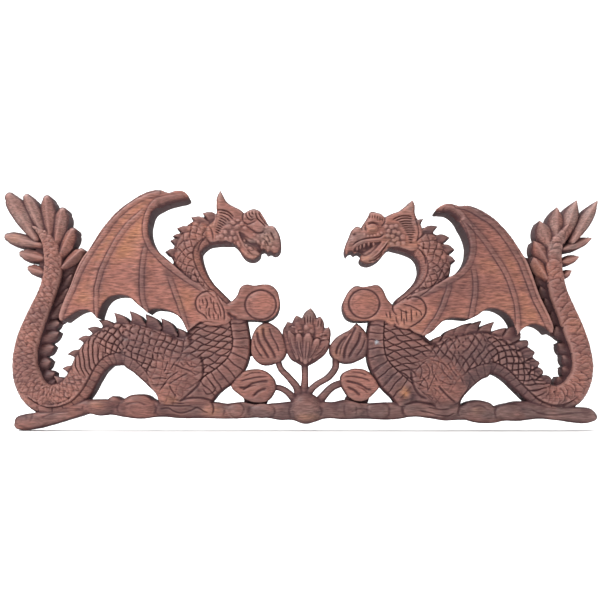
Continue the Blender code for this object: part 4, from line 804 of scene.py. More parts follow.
# Tail and body in one strand: scales at first, then slanting cuts, then lozenges, and from the turn on a
# plain banded belly on the outer side.
def bodyDetail(shape):
    reaches = reachesOf(shape["tail"])
    turnAt, cutsAt, lozengesAt = (reaches[i] for i in shape["zones"])

    def detail(along, aside, width, x, y):
        q = aside * shape["outerSide"] / width
        sway = along + 1.8 * wander(x, y, 9.0, 3)
        lean = aside + 1.5 * wander(x, y, 8.0, 4)
        small = lozenges(sway / 5.6 + lean / 10.0, sway / 5.6 - lean / 10.0, *lozengeKinds["tail"])
        netShare, scaleShare, rowPitch, columnPitch = shape["tailScales"]
        scales = 0.6 + netShare * small + scaleShare * scaleRows(-sway, lean, rowPitch, columnPitch)
        slants = 0.5 + 1.1 * bars(sway + 0.9 * lean, 6.4) - 0.7 * slits(sway + 0.9 * lean, 6.4, 0.7)
        leaning = 0.95 * lean
        crossed = lozenges((sway + leaning) / 8.2, (sway - leaning) / 8.2, *lozengeKinds["body"])
        toCuts = ramp(along, cutsAt - 3, cutsAt + 3)
        toLozenges = ramp(along, lozengesAt - 4, lozengesAt + 4)
        pattern = scales * (1 - toCuts) + toCuts * (slants * (1 - toLozenges) + (crossed + 0.7) * toLozenges)
        belly = ramp(q, 0.38, 0.46) * ramp(along, turnAt - 6, turnAt + 6)
        bands = bandsOf("tail", sway)
        line = 1.2 * np.exp(-((q - 0.42) * width / 0.75) ** 2) * ramp(along, turnAt - 6, turnAt + 6)
        edge = ramp(np.abs(q), 1.0, 0.84)
        return (pattern * (1 - belly) + bands * belly) * edge - line - 0.9

    return detail


# Chest and flank: lozenges between curved lines, and bands along the front edge outside the arc.
def torsoDetail(shape):
    front = plainPath(shape["chestArc"])
    under = plainPath(shape["bellyArc"])

    def detail(x, y, inside):
        along, aside, _ = alongPath(x, y, front)
        outer = ramp(-aside * shape["outerSide"], -0.6, 0.6)
        underAlong, underAside, _ = alongPath(x, y, under)
        belly = ramp(underAside * shape["outerSide"], -0.6, 0.6)
        dx, dy = x + 2.0 * wander(x, y, 10.0, 5), y + 1.7 * wander(x, y, 9.0, 6)
        rising = dx / 12.0 * shape["outerSide"] + dy / 8.0
        falling = dx / 30.0 * shape["outerSide"] - dy / 7.2
        crossed = lozenges(rising, falling, *lozengeKinds["chest"])
        sway = along + 1.0 * wander(x, y, 6.0, 9)
        bands = bandsOf("chest", sway) + 0.25 * wander(x, y, 5.0, 12)
        rear = ramp((shape["flankFrom"] - x) * shape["outerSide"], -7.0, 7.0)
        (a, b), (c, d) = shape["net"]
        squares = lozenges(a * dx + b * dy, c * dx + d * dy, *lozengeKinds["flank"])
        crossed = crossed * (1 - rear) + squares * rear
        bellyBands = bandsOf("belly", underAlong + 0.8 * wander(x, y, 6.0, 13))
        edge = ramp(inside, 0.2, 2.2)
        line = 1.3 * np.exp(-(aside / 0.75) ** 2) + 0.9 * np.exp(-(underAside / 0.7) ** 2)
        within = crossed * (1 - belly) + bellyBands * belly
        return (within * (1 - outer) + bands * outer) * edge - line - 0.6

    return detail


# The ribs and, last, the arm bone of a wing as smooth paths.
def wingLines(shape):
    return [plainPath(path) for path in shape["ribs"] + [shape["armBone"]]]


# How near a place is to the ribs and the arm bone of a wing, in units of the sheet.
def ribsOf(shape, x, y):
    nearest = np.full(x.shape, 99.0)
    for path in wingLines(shape):
        nearest = np.minimum(nearest, np.abs(alongPath(x, y, path)[1]))
    return nearest


# Ribs stand proud between two fine cuts, and the skin between them sags.
def wingDetail(shape):
    def detail(x, y, inside):
        added = np.zeros(x.shape)
        for i, path in enumerate(wingLines(shape)):
            along, aside, _ = alongPath(x, y, path)
            t = np.abs(aside + 0.4 * wander(x, y, 9.0, 40 + i))
            fade = ramp(along, 1.0, 14.0) if 0 < i < len(shape["ribs"]) else 1.0
            half = wingLook["armHalf"] if i == len(shape["ribs"]) else wingLook["ribHalf"]
            worn = 0.75 + 0.35 * wander(x, y, 12.0, 50 + i)
            worn = worn * np.where(aside > 0, 0.9, 0.45)
            proud = wingLook["rise"] * np.exp(-(t / half) ** 4)
            beside = np.exp(-((t - half - wingLook["cutAway"]) / wingLook["cutWidth"]) ** 2)
            added += (proud - wingLook["cutDepth"] * worn * beside) * fade
        strokes = 0.20 * wander(0.22 * x, y, 1.5, 31) + 0.10 * wander(0.5 * x, y, 4.0, 32)
        return added + strokes - wingLook["sag"] * ramp(ribsOf(shape, x, y), 2.5, 15.0) - 0.2

    return detail


# Neck: scale rows on the nape side and a plain throat band on the inner side.
def neckDetail(shape):
    total = reachesOf(shape["neck"])[-1]

    def detail(along, aside, width, x, y):
        q = aside * shape["napeSide"] / width
        sway = along + 1.6 * wander(x, y, 8.0, 8)
        lean = aside + 1.5 * wander(x, y, 7.0, 10)
        small = lozenges(sway / 9.0 + lean / 10.0, sway / 9.0 - lean / 10.0, *lozengeKinds["neck"])
        scales = 0.3 + 0.55 * small + 1.3 * scaleRows(sway * shape["neckRun"], lean, 5.8, 8.0)
        throat = ramp(-q, 0.42, 0.52)
        line = 1.0 * np.exp(-((q + 0.46) * width / 0.7) ** 2)
        bands = bandsOf("throat", sway)
        carved = (scales * (1 - throat) + bands * throat) * ramp(np.abs(q), 1.0, 0.86) - line - 0.8
        free = ramp(total - along, 20.0, 30.0)
        return carved * free - 2.2 * (1 - free)

    return detail


# A tone that eases from one to the other as the share goes from 0 to 1.
def between(first, second, share):
    return first + (second - first) * share


# One dragon, from the lowest layer to the highest.
def carveDragon(shape):
    tone = shape["tone"]
    reaches = reachesOf(shape["tail"])
    # The web and the hidden leaves lie deep behind the wing; their dark tones, 0.25 and 0.15, are painted
    # shade for that recess.
    layPlate(shape["web"], carving["web"], "web", 0.25)
    for root, tip, width in shape["hidden"]:
        layLeaf(root, tip, width, carving["hidden"], 3.0, "short", 0.15)
    for i, (root, tip, width) in enumerate(shape["fan"]):
        layLeaf(root, tip, width, carving["fan"] - 0.45 * i, 3.8, shape["fanShape"], tone["fan"],
                middle=0.9, power=2.2, tilt=shape["fanTilt"])
    for root, tip, width, *kind in shape["spines"]:
        layFin(root, tip, width, shape["spineLean"], carving["spine"] + 1.5, tone["fins"],
               shape["finBases"], bool(kind))
    bodyFrom = reaches[shape["zones"][1]]

    def tailTone(along):
        return between(tone["tail"], tone["body"], ramp(along, bodyFrom - 15, bodyFrom + 25))

    def torsoTone(x, y):
        rearward = (shape["flankFrom"] - x) * shape["outerSide"]
        return between(tone["chest"], tone["flank"], ramp(rearward, -15.0, 15.0))

    def wingTone(x, y):
        return between(tone["rib"], tone["wing"], ramp(ribsOf(shape, x, y), 2.0, 7.0))

    layStrand(shape["tail"], carving["tail"] + 0.8, 6.0, tailTone, detail=bodyDetail(shape))
    layPlate(shape["torso"], carving["body"] + 0.6, "torso", torsoTone, torsoDetail(shape))
    layPlate(shape["thigh"], carving["thigh"] - 1.4, "thigh", tone["thigh"])
    layPlate(shape["foot"], carving["foot"] - 0.2, "foot", tone["foot"])
    for root, tip, width in shape["crest"]:
        layFin(root, tip, width, shape["spineLean"], carving["neck"] - 0.8, tone["fins"])
    layStrand(shape["neck"], carving["neck"] + 0.6, 6.5, tone["neck"], melt=1.2, detail=neckDetail(shape))
    layPlate(shape["head"], carving["head"], "head", tone["head"])
    layPlate(shape["paw"], carving["paw"], "paw", tone["paw"])
    x, y, radius = shape["disc"]
    layDome(x, y, radius - 1.2, radius - 1.2, carving["paw"] - 1.2, carving["disc"], tone["disc"])
    layPlate(shape["wing"], carving["wing"], "wing", wingTone, wingDetail(shape))
    layPlate(shape["arm"], carving["arm"] - 0.2, "arm", tone["arm"])


for outline, top, tone in joiningPlates:
    layPlate(outline, top, "joining", tone)
carveDragon(leftDragon)
carveDragon(rightDragon)
print("dragons carved")

# The lotus: a heart of petals in three tiers on a plain ground.
layPlate(lotusOutline, carving["lotus"], "lotus", 0.3)
for root, tip, width, top, kind, bow in lotusPetals:
    layLeaf(root, tip, width, top, 2.0, kind, 0.20, power=3.0, bow=bow)
for name, outline in lotusLeaves.items():
    layPlate(outline, carving["leaf"], "leaf", leafTones[name])
for stem in lotusStems:
    layStrand(stem, carving["stem"] + 0.6, 2.8, 0.30)
print("lotus carved")

# The strip is redder by this much at its left end; its swellings and the knob under the lotus rise from their
# feet below its surface.
baseLook = {"redder": 0.27, "redUpTo": 230, "swellingFoot": 15.6, "knob": (306, 408.5, 16.5, 15.8),
            "knobFoot": 13.5, "knobTone": 0.25}
layPlate(baseOutline, carving["base"], "base",
         lambda x, y: baseTone + baseLook["redder"] * ramp(-x, -270, -200))
for x, y, halfWidth, halfHeight in baseSwellings:
    swellingTone = baseTone + (baseLook["redder"] if x < baseLook["redUpTo"] else 0.0)
    layDome(x, y, halfWidth, halfHeight, baseLook["swellingFoot"], carving["swelling"], swellingTone,
            melt=4.0)
layDome(*baseLook["knob"], baseLook["knobFoot"], carving["knob"] - 1.0, baseLook["knobTone"], melt=3.0)
print("base carved")

for dragonShape in (leftDragon, rightDragon):
    sink(dragonShape["mouthDip"], carving["head"], dragonShape["mouthDepth"], 1.6)
    sink(dragonShape["mouthDeep"], carving["head"], dragonShape["mouthDepth"], 2.4)
for height, width, depth, paths in leftDragon["cuts"] + rightDragon["cuts"] + plantCuts:
    for path in paths:
        cut(path, height, width, depth)
for height, rise, ovals in leftDragon["bumps"] + rightDragon["bumps"] + plantBumps:
    for x, y, halfWidth, halfHeight, turn in ovals:
        press(x, y, halfWidth, halfHeight, height, rise, turn)
for ring in pawRings:
    cutRing(*ring)
print("lines cut")

# The hand's unevenness: a slow wobble and shorter tool marks that run with the grain.
acrossGrid, upGrid = np.meshgrid(acrossLine, upLine)
surface["height"] += carving["wobble"] * wander(acrossGrid, upGrid, 11.0, 21)
surface["height"] += carving["toolMarks"] * wander(0.35 * acrossGrid, upGrid, 2.3, 22)
surface["height"] = np.clip(surface["height"], 2.0, 24.9)
surface["inside"] += carving["edgeWobble"] * wander(acrossGrid, upGrid, 4.0, 23)
surface["warm"] += 0.14 * wander(acrossGrid, upGrid, 15.0, 24) + 0.10 * wander(acrossGrid, upGrid, 6.0, 25)


# Pinholes between neighbouring parts are closed: a gap stays open where a block of three by three grid points
# fits in it, and in whatever joins such a block side by side.
def closePinholes(inside):
    gap = inside <= 0.0
    rows, columns = gap.shape

    def gather(mask, steps, combine, beyond):
        padded = np.pad(mask, 1, constant_values=beyond)
        return combine.reduce([padded[1 + j:1 + j + rows, 1 + i:1 + i + columns] for j, i in steps])

    block = [(j, i) for j in (-1, 0, 1) for i in (-1, 0, 1)]
    cross = [(0, 0), (-1, 0), (1, 0), (0, -1), (0, 1)]
    kept, grown = np.zeros_like(gap), gather(gap, block, np.logical_and, True)
    while (grown != kept).any():
        kept, grown = grown, gather(grown, cross, np.logical_or, False) & gap
    return np.where(gap & ~kept, 0.3, inside)


surface["inside"] = closePinholes(surface["inside"])


# Mean over a square window of the points on the panel, taken twice, from differences of running sums.
def soften(values, weight, radius):
    count = max(1, int(round(radius / carving["step"])))
    top, bottom = values * weight, weight.copy()
    for _ in range(2):
        for axis in (0, 1):
            pad = [(count + 1, count) if a == axis else (0, 0) for a in (0, 1)]
            both = [np.cumsum(np.pad(part, pad, mode="edge"), axis=axis) for part in (top, bottom)]
            size = top.shape[axis]
            both = [np.take(part, range(2 * count + 1, 2 * count + 1 + size), axis)
                    - np.take(part, range(0, size), axis) for part in both]
            top, bottom = both
    return top / np.maximum(bottom, 1e-6)


# Patches of colour: share * exp(-r^4) inside each oval, broken up by noise.
def ovalPatches(places):
    patches = np.zeros(gridShape)
    for x0, y0, halfWidth, halfHeight, share in places:
        spot, x, y = windowRound(carving["head"], x0, y0, 1.5 * halfWidth, 1.5 * halfHeight, margin=5.0)
        oval = np.exp(-(((x - x0) / halfWidth) ** 2 + ((y - y0) / halfHeight) ** 2) ** 2)
        patches[spot] = np.maximum(patches[spot], share * oval * (1.0 + 0.5 * wander(x, y, 5.0, 26)))
    return patches


onPanel = (surface["inside"] > 0.0).astype(float)
# Painted shade gathers where the surface lies below the mean of its surroundings, and lighter wear with a
# painted highlight where it stands above it.
# Radius of the mean, gain, slack and limit of each kind of hollow.
hollows = ((0.8, 2.6, 0.02, 0.6), (2.0, 0.8, 0.1, 0.6), (5.5, 0.13, 0.5, 0.55))
means = [soften(surface["height"], onPanel, radius) for radius, *_ in hollows]
surface["shadeAndStain"] = sum(np.clip(gain * (mean - surface["height"] - slack), 0.0, limit)
                       for mean, (_, gain, slack, limit) in zip(means, hollows))
# The strip is blotched, in soft patches.
strip = ramp(-upGrid, 42.0, 48.0)
surface["shadeAndStain"] += 0.9 * strip * np.clip(wander(0.6 * acrossGrid, upGrid, 5.5, 27) - 0.15, 0.0, 0.5)
surface["warm"] += 0.35 * strip * wander(0.5 * acrossGrid, upGrid, 6.5, 28)
surface["shadeAndStain"] = np.clip(surface["shadeAndStain"], 0.0, 1.0)
for knotX, knotY, size in knots:
    spot, x, y = windowRound(carving["body"], knotX, knotY, 4, 4, margin=5.0)
    dark = 0.85 * ramp(np.hypot(x - knotX, 1.4 * (y - knotY)), size + 0.8, size - 0.8)
    surface["shadeAndStain"][spot] = np.maximum(surface["shadeAndStain"][spot], dark)
for name, places in (("pale", greyed), ("amber", yellowed)):
    surface[name] = ovalPatches(places)
near, wide = means[:2]
# Raised places are lighter: partly wear, partly painted highlight.
surface["wearAndHighlight"] = np.clip(1.2 * (surface["height"] - near) + 0.35 * (surface["height"] - wide), 0.0, 1.0)
# Outside the outline the height repeats that of the nearest points on the panel, for the rim that falls
# between.
repeated = soften(surface["height"], onPanel, carving["step"])
surface["height"] = np.where(onPanel > 0, surface["height"], repeated)
print("stain and wear worked out")


# Closed mesh from the grid. Each square is cut along the zero line of the inside distance, which gives
# sixteen cases; the front, the flat back and walls between them share the rim, whose points divide the
# grid's edges by distance.
def meshFromGrid():
    inside, height = surface["inside"], surface["height"]
    inside = np.where(np.abs(inside) < 0.01, -0.01, inside)
    solid = inside > 0
    rows, columns = inside.shape
    corner = np.arange(rows * columns).reshape(rows, columns)
    level = rows * columns + np.arange(rows * (columns - 1)).reshape(rows, columns - 1)
    upright = level.max() + 1 + np.arange((rows - 1) * columns).reshape(rows - 1, columns)
    places = {"c0": corner[:-1, :-1], "c1": corner[:-1, 1:], "c2": corner[1:, 1:], "c3": corner[1:, :-1],
              "e0": level[:-1], "e1": upright[:, 1:], "e2": level[1:], "e3": upright[:, :-1]}

    def divided(first, second, firstInside, secondInside):
        t = np.clip(firstInside / (firstInside - secondInside + 1e-12), 0.04, 0.96)
        return first * (1 - t) + second * t

    def spread(values):
        return np.concatenate([values.ravel(),
                               divided(values[:, :-1], values[:, 1:], inside[:, :-1], inside[:, 1:]).ravel(),
                               divided(values[:-1], values[1:], inside[:-1], inside[1:]).ravel()])

    across, up, out = spread(acrossGrid), spread(upGrid), spread(height)
    case = solid[:-1, :-1] * 1 + solid[:-1, 1:] * 2 + solid[1:, 1:] * 4 + solid[1:, :-1] * 8
    triangles, rimEdges = [], []
    for number in range(1, 15):
        walk = []
        for i in range(4):
            here, there = number >> i & 1, number >> (i + 1) % 4 & 1
            walk += ([f"c{i}"] if here else []) + ([f"e{i}"] if here != there else [])
        cells = case == number
        ids = np.stack([places[name][cells] for name in walk], axis=1)
        triangles += [ids[:, [0, i, i + 1]] for i in range(1, len(walk) - 1)]
        for i, name in enumerate(walk):
            following = walk[(i + 1) % len(walk)]
            if name[0] == following[0] == "e":
                rimEdges.append(ids[:, [i, (i + 1) % len(walk)]])
    full = case == 15
    a, b, c, d = (places[name][full] for name in ("c0", "c1", "c2", "c3"))
    flat = np.abs(out[a] - out[c]) <= np.abs(out[b] - out[d])
    triangles.append(np.stack([a, b, np.where(flat, c, d)], axis=1))
    triangles.append(np.stack([np.where(flat, a, b), c, d], axis=1))
    front, edges = np.concatenate(triangles), np.concatenate(rimEdges)
    used, packed = np.unique(front, return_inverse=True)
    front = packed.reshape(front.shape)
    edges = np.searchsorted(used, edges)
    across, up, out, count = across[used] / 1000, up[used] / 1000, out[used] / 1000, len(used)
    points = np.concatenate([np.stack([across, -out, up], axis=1), np.stack([across, 0 * out, up], axis=1)])
    first, second = edges[:, 0], edges[:, 1]
    walls = np.concatenate([np.stack([second, first, first + count], axis=1),
                            np.stack([second, first + count, second + count], axis=1)])
    return points, np.concatenate([front, front[:, ::-1] + count, walls])


# A mesh of triangles from two arrays.
def newMesh(name, points, triangles):
    mesh = bpy.data.meshes.new(name)
    mesh.vertices.add(len(points))
    mesh.vertices.foreach_set("co", points.astype(np.float32).ravel())
    mesh.loops.add(3 * len(triangles))
    mesh.loops.foreach_set("vertex_index", triangles.astype(np.int32).ravel())
    mesh.polygons.add(len(triangles))
    mesh.polygons.foreach_set("loop_start", np.arange(0, 3 * len(triangles), 3, dtype=np.int32))
    mesh.update(calc_edges=True)
    mesh.validate()
    return mesh


points, triangles = meshFromGrid()
panel = bpy.data.objects.new("dragonLotusCarving", newMesh("dragonLotusCarving", points, triangles))
bpy.context.scene.collection.objects.link(panel)
print("grid meshed:", len(triangles), "triangles")

thin = panel.modifiers.new("thin", 'DECIMATE')
thin.ratio = min(1.0, carving["triangles"] / len(triangles))
bpy.context.view_layer.update()
thinned = bpy.data.meshes.new_from_object(panel.evaluated_get(bpy.context.evaluated_depsgraph_get()))
panel.modifiers.remove(thin)
panel.data = thinned
print("thinned to", len(thinned.polygons), "triangles")


# Value of a grid at places in millimetres: the four nearest grid points weighed by nearness.
def readGrid(values, across, up):
    u = np.clip((across - acrossLine[0]) / carving["step"], 0, len(acrossLine) - 1.001)
    v = np.clip((up - upLine[0]) / carving["step"], 0, len(upLine) - 1.001)
    i, j = u.astype(int), v.astype(int)
    s, t = u - i, v - j
    return ((values[j, i] * (1 - s) + values[j, i + 1] * s) * (1 - t)
            + (values[j + 1, i] * (1 - s) + values[j + 1, i + 1] * s) * t)


spots = np.zeros(3 * len(thinned.vertices), dtype=np.float32)
thinned.vertices.foreach_get("co", spots)
spots = spots.reshape(-1, 3).astype(float) * 1000
marks = {name: surface[name] * onPanel for name in ("shadeAndStain", "wearAndHighlight", "pale", "amber")}
marks["warm"] = soften(surface["warm"], onPanel, 0.8)
# The silvery dot in the right dragon's chest: centre, and where its edge ends and begins.
pin = {"x": 376.6, "y": 342.2, "outer": 2.3, "inner": 1.2}
marks["pin"] = np.zeros(gridShape)
spot, x, y = windowRound(carving["body"], pin["x"], pin["y"], 7, 7, margin=5.0)
marks["pin"][spot] = ramp(np.hypot(x - pin["x"], y - pin["y"]), pin["outer"], pin["inner"])
for name, values in marks.items():
    layer = thinned.attributes.new(name, 'FLOAT', 'POINT')
    plain = 0.4 if name == "warm" else 0.0
    painted = np.where(spots[:, 1] < -0.6, readGrid(values, spots[:, 0], spots[:, 2]), plain)
    layer.data.foreach_set("value", painted.astype(np.float32))
faceNormals = np.zeros(3 * len(thinned.polygons), dtype=np.float32)
thinned.polygons.foreach_get("normal", faceNormals)
faceCentres = np.zeros(3 * len(thinned.polygons), dtype=np.float32)
thinned.polygons.foreach_get("center", faceCentres)
faceNormals, faceCentres = faceNormals.reshape(-1, 3), faceCentres.reshape(-1, 3)
# The flank mark is painted shade: every steep side wall of the carving is darkened.
flank = thinned.attributes.new("flank", 'FLOAT', 'FACE')
flank.data.foreach_set("value", (np.abs(faceNormals[:, 1]) < 0.22).astype(np.float32))
thinned.polygons.foreach_set("use_smooth", np.ones(len(thinned.polygons), dtype=bool))
thinned.set_sharp_from_angle(angle=math.radians(52))
thinned.update()
print("marks painted")


# One node with its plain settings; keyword names are the node's own properties.
def node(tree, kind, place=(0, 0), **settings):
    made = tree.nodes.new(kind)
    made.location = place
    for name, value in settings.items():
        setattr(made, name, value)
    return made


# Arithmetic on values or sockets.
def sums(tree, operation, first, second=None, clamp=False):
    made = node(tree, 'ShaderNodeMath', operation=operation, use_clamp=clamp)
    for i, value in enumerate((first, second)):
        if hasattr(value, "links"):
            tree.links.new(value, made.inputs[i])
        elif value is not None:
            made.inputs[i].default_value = value
    return made.outputs[0]


# Mix of two colours, each a plain colour or a socket, by a factor.
def blendColours(tree, factor, first, second, mode='MIX'):
    made = node(tree, 'ShaderNodeMix', data_type='RGBA', blend_type=mode)
    for socket, value in ((made.inputs[0], factor), (made.inputs[6], first), (made.inputs[7], second)):
        if hasattr(value, "links"):
            tree.links.new(value, socket)
        elif isinstance(value, tuple):
            socket.default_value = (*value, 1.0)
        else:
            socket.default_value = value
    return made.outputs[2]


# Wood grain along x: noise stretched with the grain for streaks and fine pores, and a slow drift of tone.
def grainGroup():
    group = bpy.data.node_groups.new("woodGrain", 'ShaderNodeTree')
    group.interface.new_socket("Place", in_out='INPUT', socket_type='NodeSocketVector')
    group.interface.new_socket("Fineness", in_out='INPUT', socket_type='NodeSocketFloat')
    for name in ("Streaks", "Pores", "Drift", "Height"):
        group.interface.new_socket(name, in_out='OUTPUT', socket_type='NodeSocketFloat')
    enter, leave = node(group, 'NodeGroupInput'), node(group, 'NodeGroupOutput')

    def stretched(scale, size, detail, rough):
        place = node(group, 'ShaderNodeVectorMath', operation='MULTIPLY')
        group.links.new(enter.outputs["Place"], place.inputs[0])
        place.inputs[1].default_value = scale
        noise = node(group, 'ShaderNodeTexNoise')
        group.links.new(place.outputs[0], noise.inputs["Vector"])
        group.links.new(sums(group, 'MULTIPLY', enter.outputs["Fineness"], size), noise.inputs["Scale"])
        noise.inputs["Detail"].default_value = detail
        noise.inputs["Roughness"].default_value = rough
        return noise.outputs[0]

    streaks = stretched((0.13, 0.8, 1.0), 1000.0, 2.0, 0.6)
    pores = stretched((0.10, 0.9, 1.0), 2200.0, 1.0, 0.5)
    drift = stretched((0.35, 1.0, 1.0), 28.0, 3.0, 0.55)
    height = sums(group, 'ADD', sums(group, 'MULTIPLY', streaks, 0.6), sums(group, 'MULTIPLY', pores, 0.4))
    for name, socket in (("Streaks", streaks), ("Pores", pores), ("Drift", drift), ("Height", height)):
        group.links.new(socket, leave.inputs[name])
    return group


# Oiled hardwood: colours of the wood, of the stain and painted shade in hollows, of the painted shade on side
# walls and of wear with painted highlight, and how strongly grain, stain with shade, and wear with highlight
# show.
carvedWood = {"dark": (0.086, 0.040, 0.042), "red": (0.330, 0.130, 0.099), "amber": (0.46, 0.20, 0.085),
              "shadeAndStain": (0.066, 0.026, 0.029), "worn": (0.45, 0.245, 0.21), "flank": (0.040, 0.026, 0.030),
              "pale": (0.27, 0.18, 0.16), "pin": (0.50, 0.50, 0.54), "streaks": 0.75, "amberShare": 0.42,
              "wearAndHighlightShare": 0.6, "wallShadeShare": 0.9, "shadeAndStainShare": 0.92, "bump": 0.35, "bumpDepth": 0.0006,
              "roughness": 0.46, "fineness": 1.0, "gloss": 0.30}


# The wood: from dark to red by the tone and the grain's drift, then greyed, yellowed, streaked, lightened by
# wear and painted highlight, darkened by painted shade on the side walls and by stain and painted shade in
# the hollows, all by the marks; it is rougher where the hollow shade and stain lie and on the side walls.
def carvedWoodMaterial():
    material = bpy.data.materials.new("carvedWood")
    material.use_nodes = True
    tree = material.node_tree
    shader = tree.nodes["Principled BSDF"]
    shader.inputs["Specular IOR Level"].default_value = carvedWood["gloss"]
    place = node(tree, 'ShaderNodeTexCoord')
    grain = node(tree, 'ShaderNodeGroup')
    grain.node_tree = grainGroup()
    tree.links.new(place.outputs["Object"], grain.inputs["Place"])
    grain.inputs["Fineness"].default_value = carvedWood["fineness"]

    def scaled(socket, share, clamp=False):
        return sums(tree, 'MULTIPLY', socket, share, clamp)

    def shifted(socket, amount):
        return sums(tree, 'SUBTRACT', socket, amount)

    mark = {}
    for name in ("warm", "shadeAndStain", "wearAndHighlight", "pale", "amber", "flank", "pin"):
        mark[name] = node(tree, 'ShaderNodeAttribute', attribute_name=name).outputs["Fac"]
    drift = scaled(shifted(grain.outputs["Drift"], 0.5), 1.3)
    warm = sums(tree, 'ADD', mark["warm"], drift, clamp=True)
    colour = blendColours(tree, warm, carvedWood["dark"], carvedWood["red"])
    patch = scaled(shifted(grain.outputs["Drift"], 0.50), 6.0, clamp=True)
    patch = scaled(patch, sums(tree, 'POWER', mark["warm"], 3.0))
    colour = blendColours(tree, scaled(patch, carvedWood["amberShare"]), colour, carvedWood["amber"])
    streak = scaled(shifted(grain.outputs["Streaks"], 0.38), 3.6, clamp=True)
    shade = sums(tree, 'ADD', scaled(streak, carvedWood["streaks"]), 1.0 - 0.55 * carvedWood["streaks"])
    colour = blendColours(tree, mark["pale"], colour, carvedWood["pale"])
    colour = blendColours(tree, mark["amber"], colour, carvedWood["amber"])
    colour = blendColours(tree, 1.0, colour, greyOf(tree, shade), 'MULTIPLY')
    # Wear and painted highlight: raised places drift towards the pale worn colour.
    colour = blendColours(tree, scaled(mark["wearAndHighlight"], carvedWood["wearAndHighlightShare"]), colour, carvedWood["worn"])
    # Painted shade: the side walls are darkened towards the flank colour.
    colour = blendColours(tree, scaled(mark["flank"], carvedWood["wallShadeShare"]), colour, carvedWood["flank"])
    # Painted shade in the hollows, mixed with the real stain of the strip's blotches and the knots.
    colour = blendColours(tree, scaled(mark["shadeAndStain"], carvedWood["shadeAndStainShare"]), colour, carvedWood["shadeAndStain"])
    colour = blendColours(tree, mark["pin"], colour, carvedWood["pin"])
    tree.links.new(colour, shader.inputs["Base Color"])
    rough = sums(tree, 'ADD', scaled(grain.outputs["Pores"], 0.25), carvedWood["roughness"] - 0.12)
    rough = sums(tree, 'ADD', rough, scaled(mark["shadeAndStain"], 0.25))
    rough = sums(tree, 'ADD', rough, scaled(mark["flank"], 0.45), clamp=True)
    tree.links.new(rough, shader.inputs["Roughness"])
    tree.links.new(scaled(mark["pin"], 0.9), shader.inputs["Metallic"])
    bump = node(tree, 'ShaderNodeBump')
    bump.inputs["Strength"].default_value = carvedWood["bump"]
    bump.inputs["Distance"].default_value = carvedWood["bumpDepth"]
    tree.links.new(grain.outputs["Height"], bump.inputs["Height"])
    tree.links.new(bump.outputs["Normal"], shader.inputs["Normal"])
    return material


# A grey with this value in all three channels.
def greyOf(tree, value):
    made = node(tree, 'ShaderNodeCombineColor')
    for i in range(3):
        tree.links.new(value, made.inputs[i])
    return made.outputs[0]


panel.data.materials.clear()
panel.data.materials.append(carvedWoodMaterial())
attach(panel, "root")
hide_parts("carved_panel")
print("wood finished")

# Floor and backdrop in one sweep: flat under the panel, then a quarter circle up into a wall.
studio = {"floorDrop": 0.0008, "front": -3.0, "bend": 1.2, "radius": 0.8, "top": 3.0, "halfWidth": 4.0,
          "colour": (0.90, 0.90, 0.90), "world": 0.40, "roughness": 0.9}
# Lights: place, size, power and target of each.
lights = {"keyLight": ((-0.75, -0.75, 0.95), 0.45, 15.0, (0.0, 0.0, 0.0)),
          "fillLight": ((1.3, -1.2, 0.5), 1.0, 3.0, (0.0, 0.0, 0.0)),
          "backLight": ((0.0, 0.5, 1.6), 2.0, 70.0, (0.0, 2.4, 0.2))}


# Points along the sweep's profile: level, a quarter turn of this radius, then upright, carried from side to
# side.
def sweepMesh():
    turn = np.linspace(0.0, math.pi / 2, 24)
    bottom = cadLow.z - studio["floorDrop"]
    along = np.concatenate([[studio["front"]], studio["bend"] + studio["radius"] * np.sin(turn),
                            [studio["bend"] + studio["radius"]]])
    up = np.concatenate([[bottom], bottom + studio["radius"] * (1 - np.cos(turn)), [studio["top"]]])
    n = len(along)
    sides = (-studio["halfWidth"], studio["halfWidth"])
    points = np.array([(x, y, z) for x in sides for y, z in zip(along, up)])
    i = np.arange(n - 1)
    faces = np.concatenate([np.stack([i, i + n, i + n + 1], axis=1), np.stack([i, i + n + 1, i + 1], axis=1)])
    return newMesh("studioSweep", points, faces)


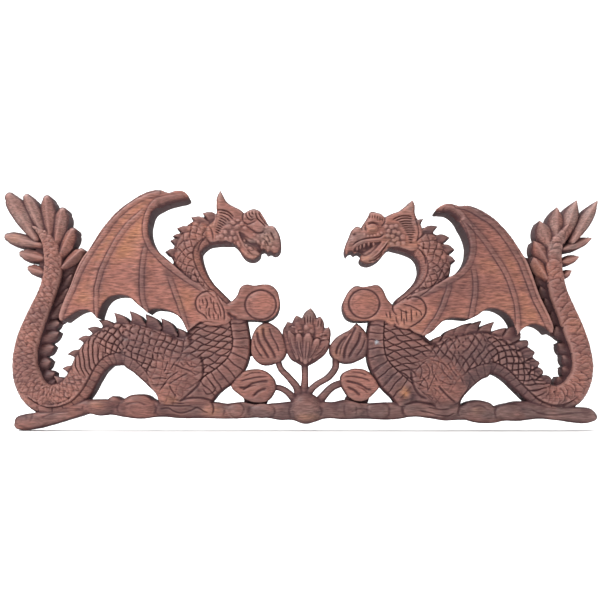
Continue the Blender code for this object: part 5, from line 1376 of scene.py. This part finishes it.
sweep = bpy.data.objects.new("studioSweep", sweepMesh())
bpy.context.scene.collection.objects.link(sweep)
paper = bpy.data.materials.new("palePaper")
paper.use_nodes = True
paperShader = paper.node_tree.nodes["Principled BSDF"]
paperShader.inputs["Base Color"].default_value = (*studio["colour"], 1.0)
paperShader.inputs["Roughness"].default_value = studio["roughness"]
sweep.data.materials.append(paper)
sweep.data.polygons.foreach_set("use_smooth", np.ones(len(sweep.data.polygons), dtype=bool))

bpy.context.scene.view_settings.view_transform = "Standard"
world = bpy.data.worlds.new("softRoom")
bpy.context.scene.world = world
world.use_nodes = True
surroundings = world.node_tree.nodes["Background"]
surroundings.inputs[0].default_value = (1.0, 1.0, 1.0, 1.0)
surroundings.inputs[1].default_value = studio["world"]


# A square soft light at a place, aimed at another.
def softLight(name, place, size, power, target):
    data = bpy.data.lights.new(name, 'AREA')
    data.energy = power
    data.size = size
    lamp = bpy.data.objects.new(name, data)
    bpy.context.scene.collection.objects.link(lamp)
    lamp.location = place
    aim = np.array(target) - np.array(place)
    flat = math.hypot(aim[0], aim[1])
    lamp.rotation_euler = (math.atan2(flat, -aim[2]), 0.0, math.atan2(-aim[0], aim[1]))


for name, (place, size, power, target) in lights.items():
    softLight(name, place, size, power, target)

# The camera looks straight at the wall, low on the panel, with the sheet's own scale at the panel's front.
camera = bpy.data.objects.new("frontCamera", bpy.data.cameras.new("frontCamera"))
bpy.context.scene.collection.objects.link(camera)
bpy.context.scene.camera = camera
square, away = sheet["square"] / 1000, sheet["viewDistance"] / 1000
camera.location = ((sheet["viewX"] - sheet["originX"]) * square, -(sheet["depth"] / 1000 + away),
                   (sheet["originY"] - sheet["viewY"]) * square)
camera.rotation_euler = (math.radians(90), 0.0, 0.0)
camera.data.sensor_width = sheet["sensor"]
camera.data.lens = sheet["sensor"] * away / (sheet["squares"] * square)
camera.data.shift_x = (sheet["middle"] - sheet["viewX"]) / sheet["squares"]
camera.data.shift_y = (sheet["viewY"] - sheet["middle"]) / sheet["squares"]
print("studio set")
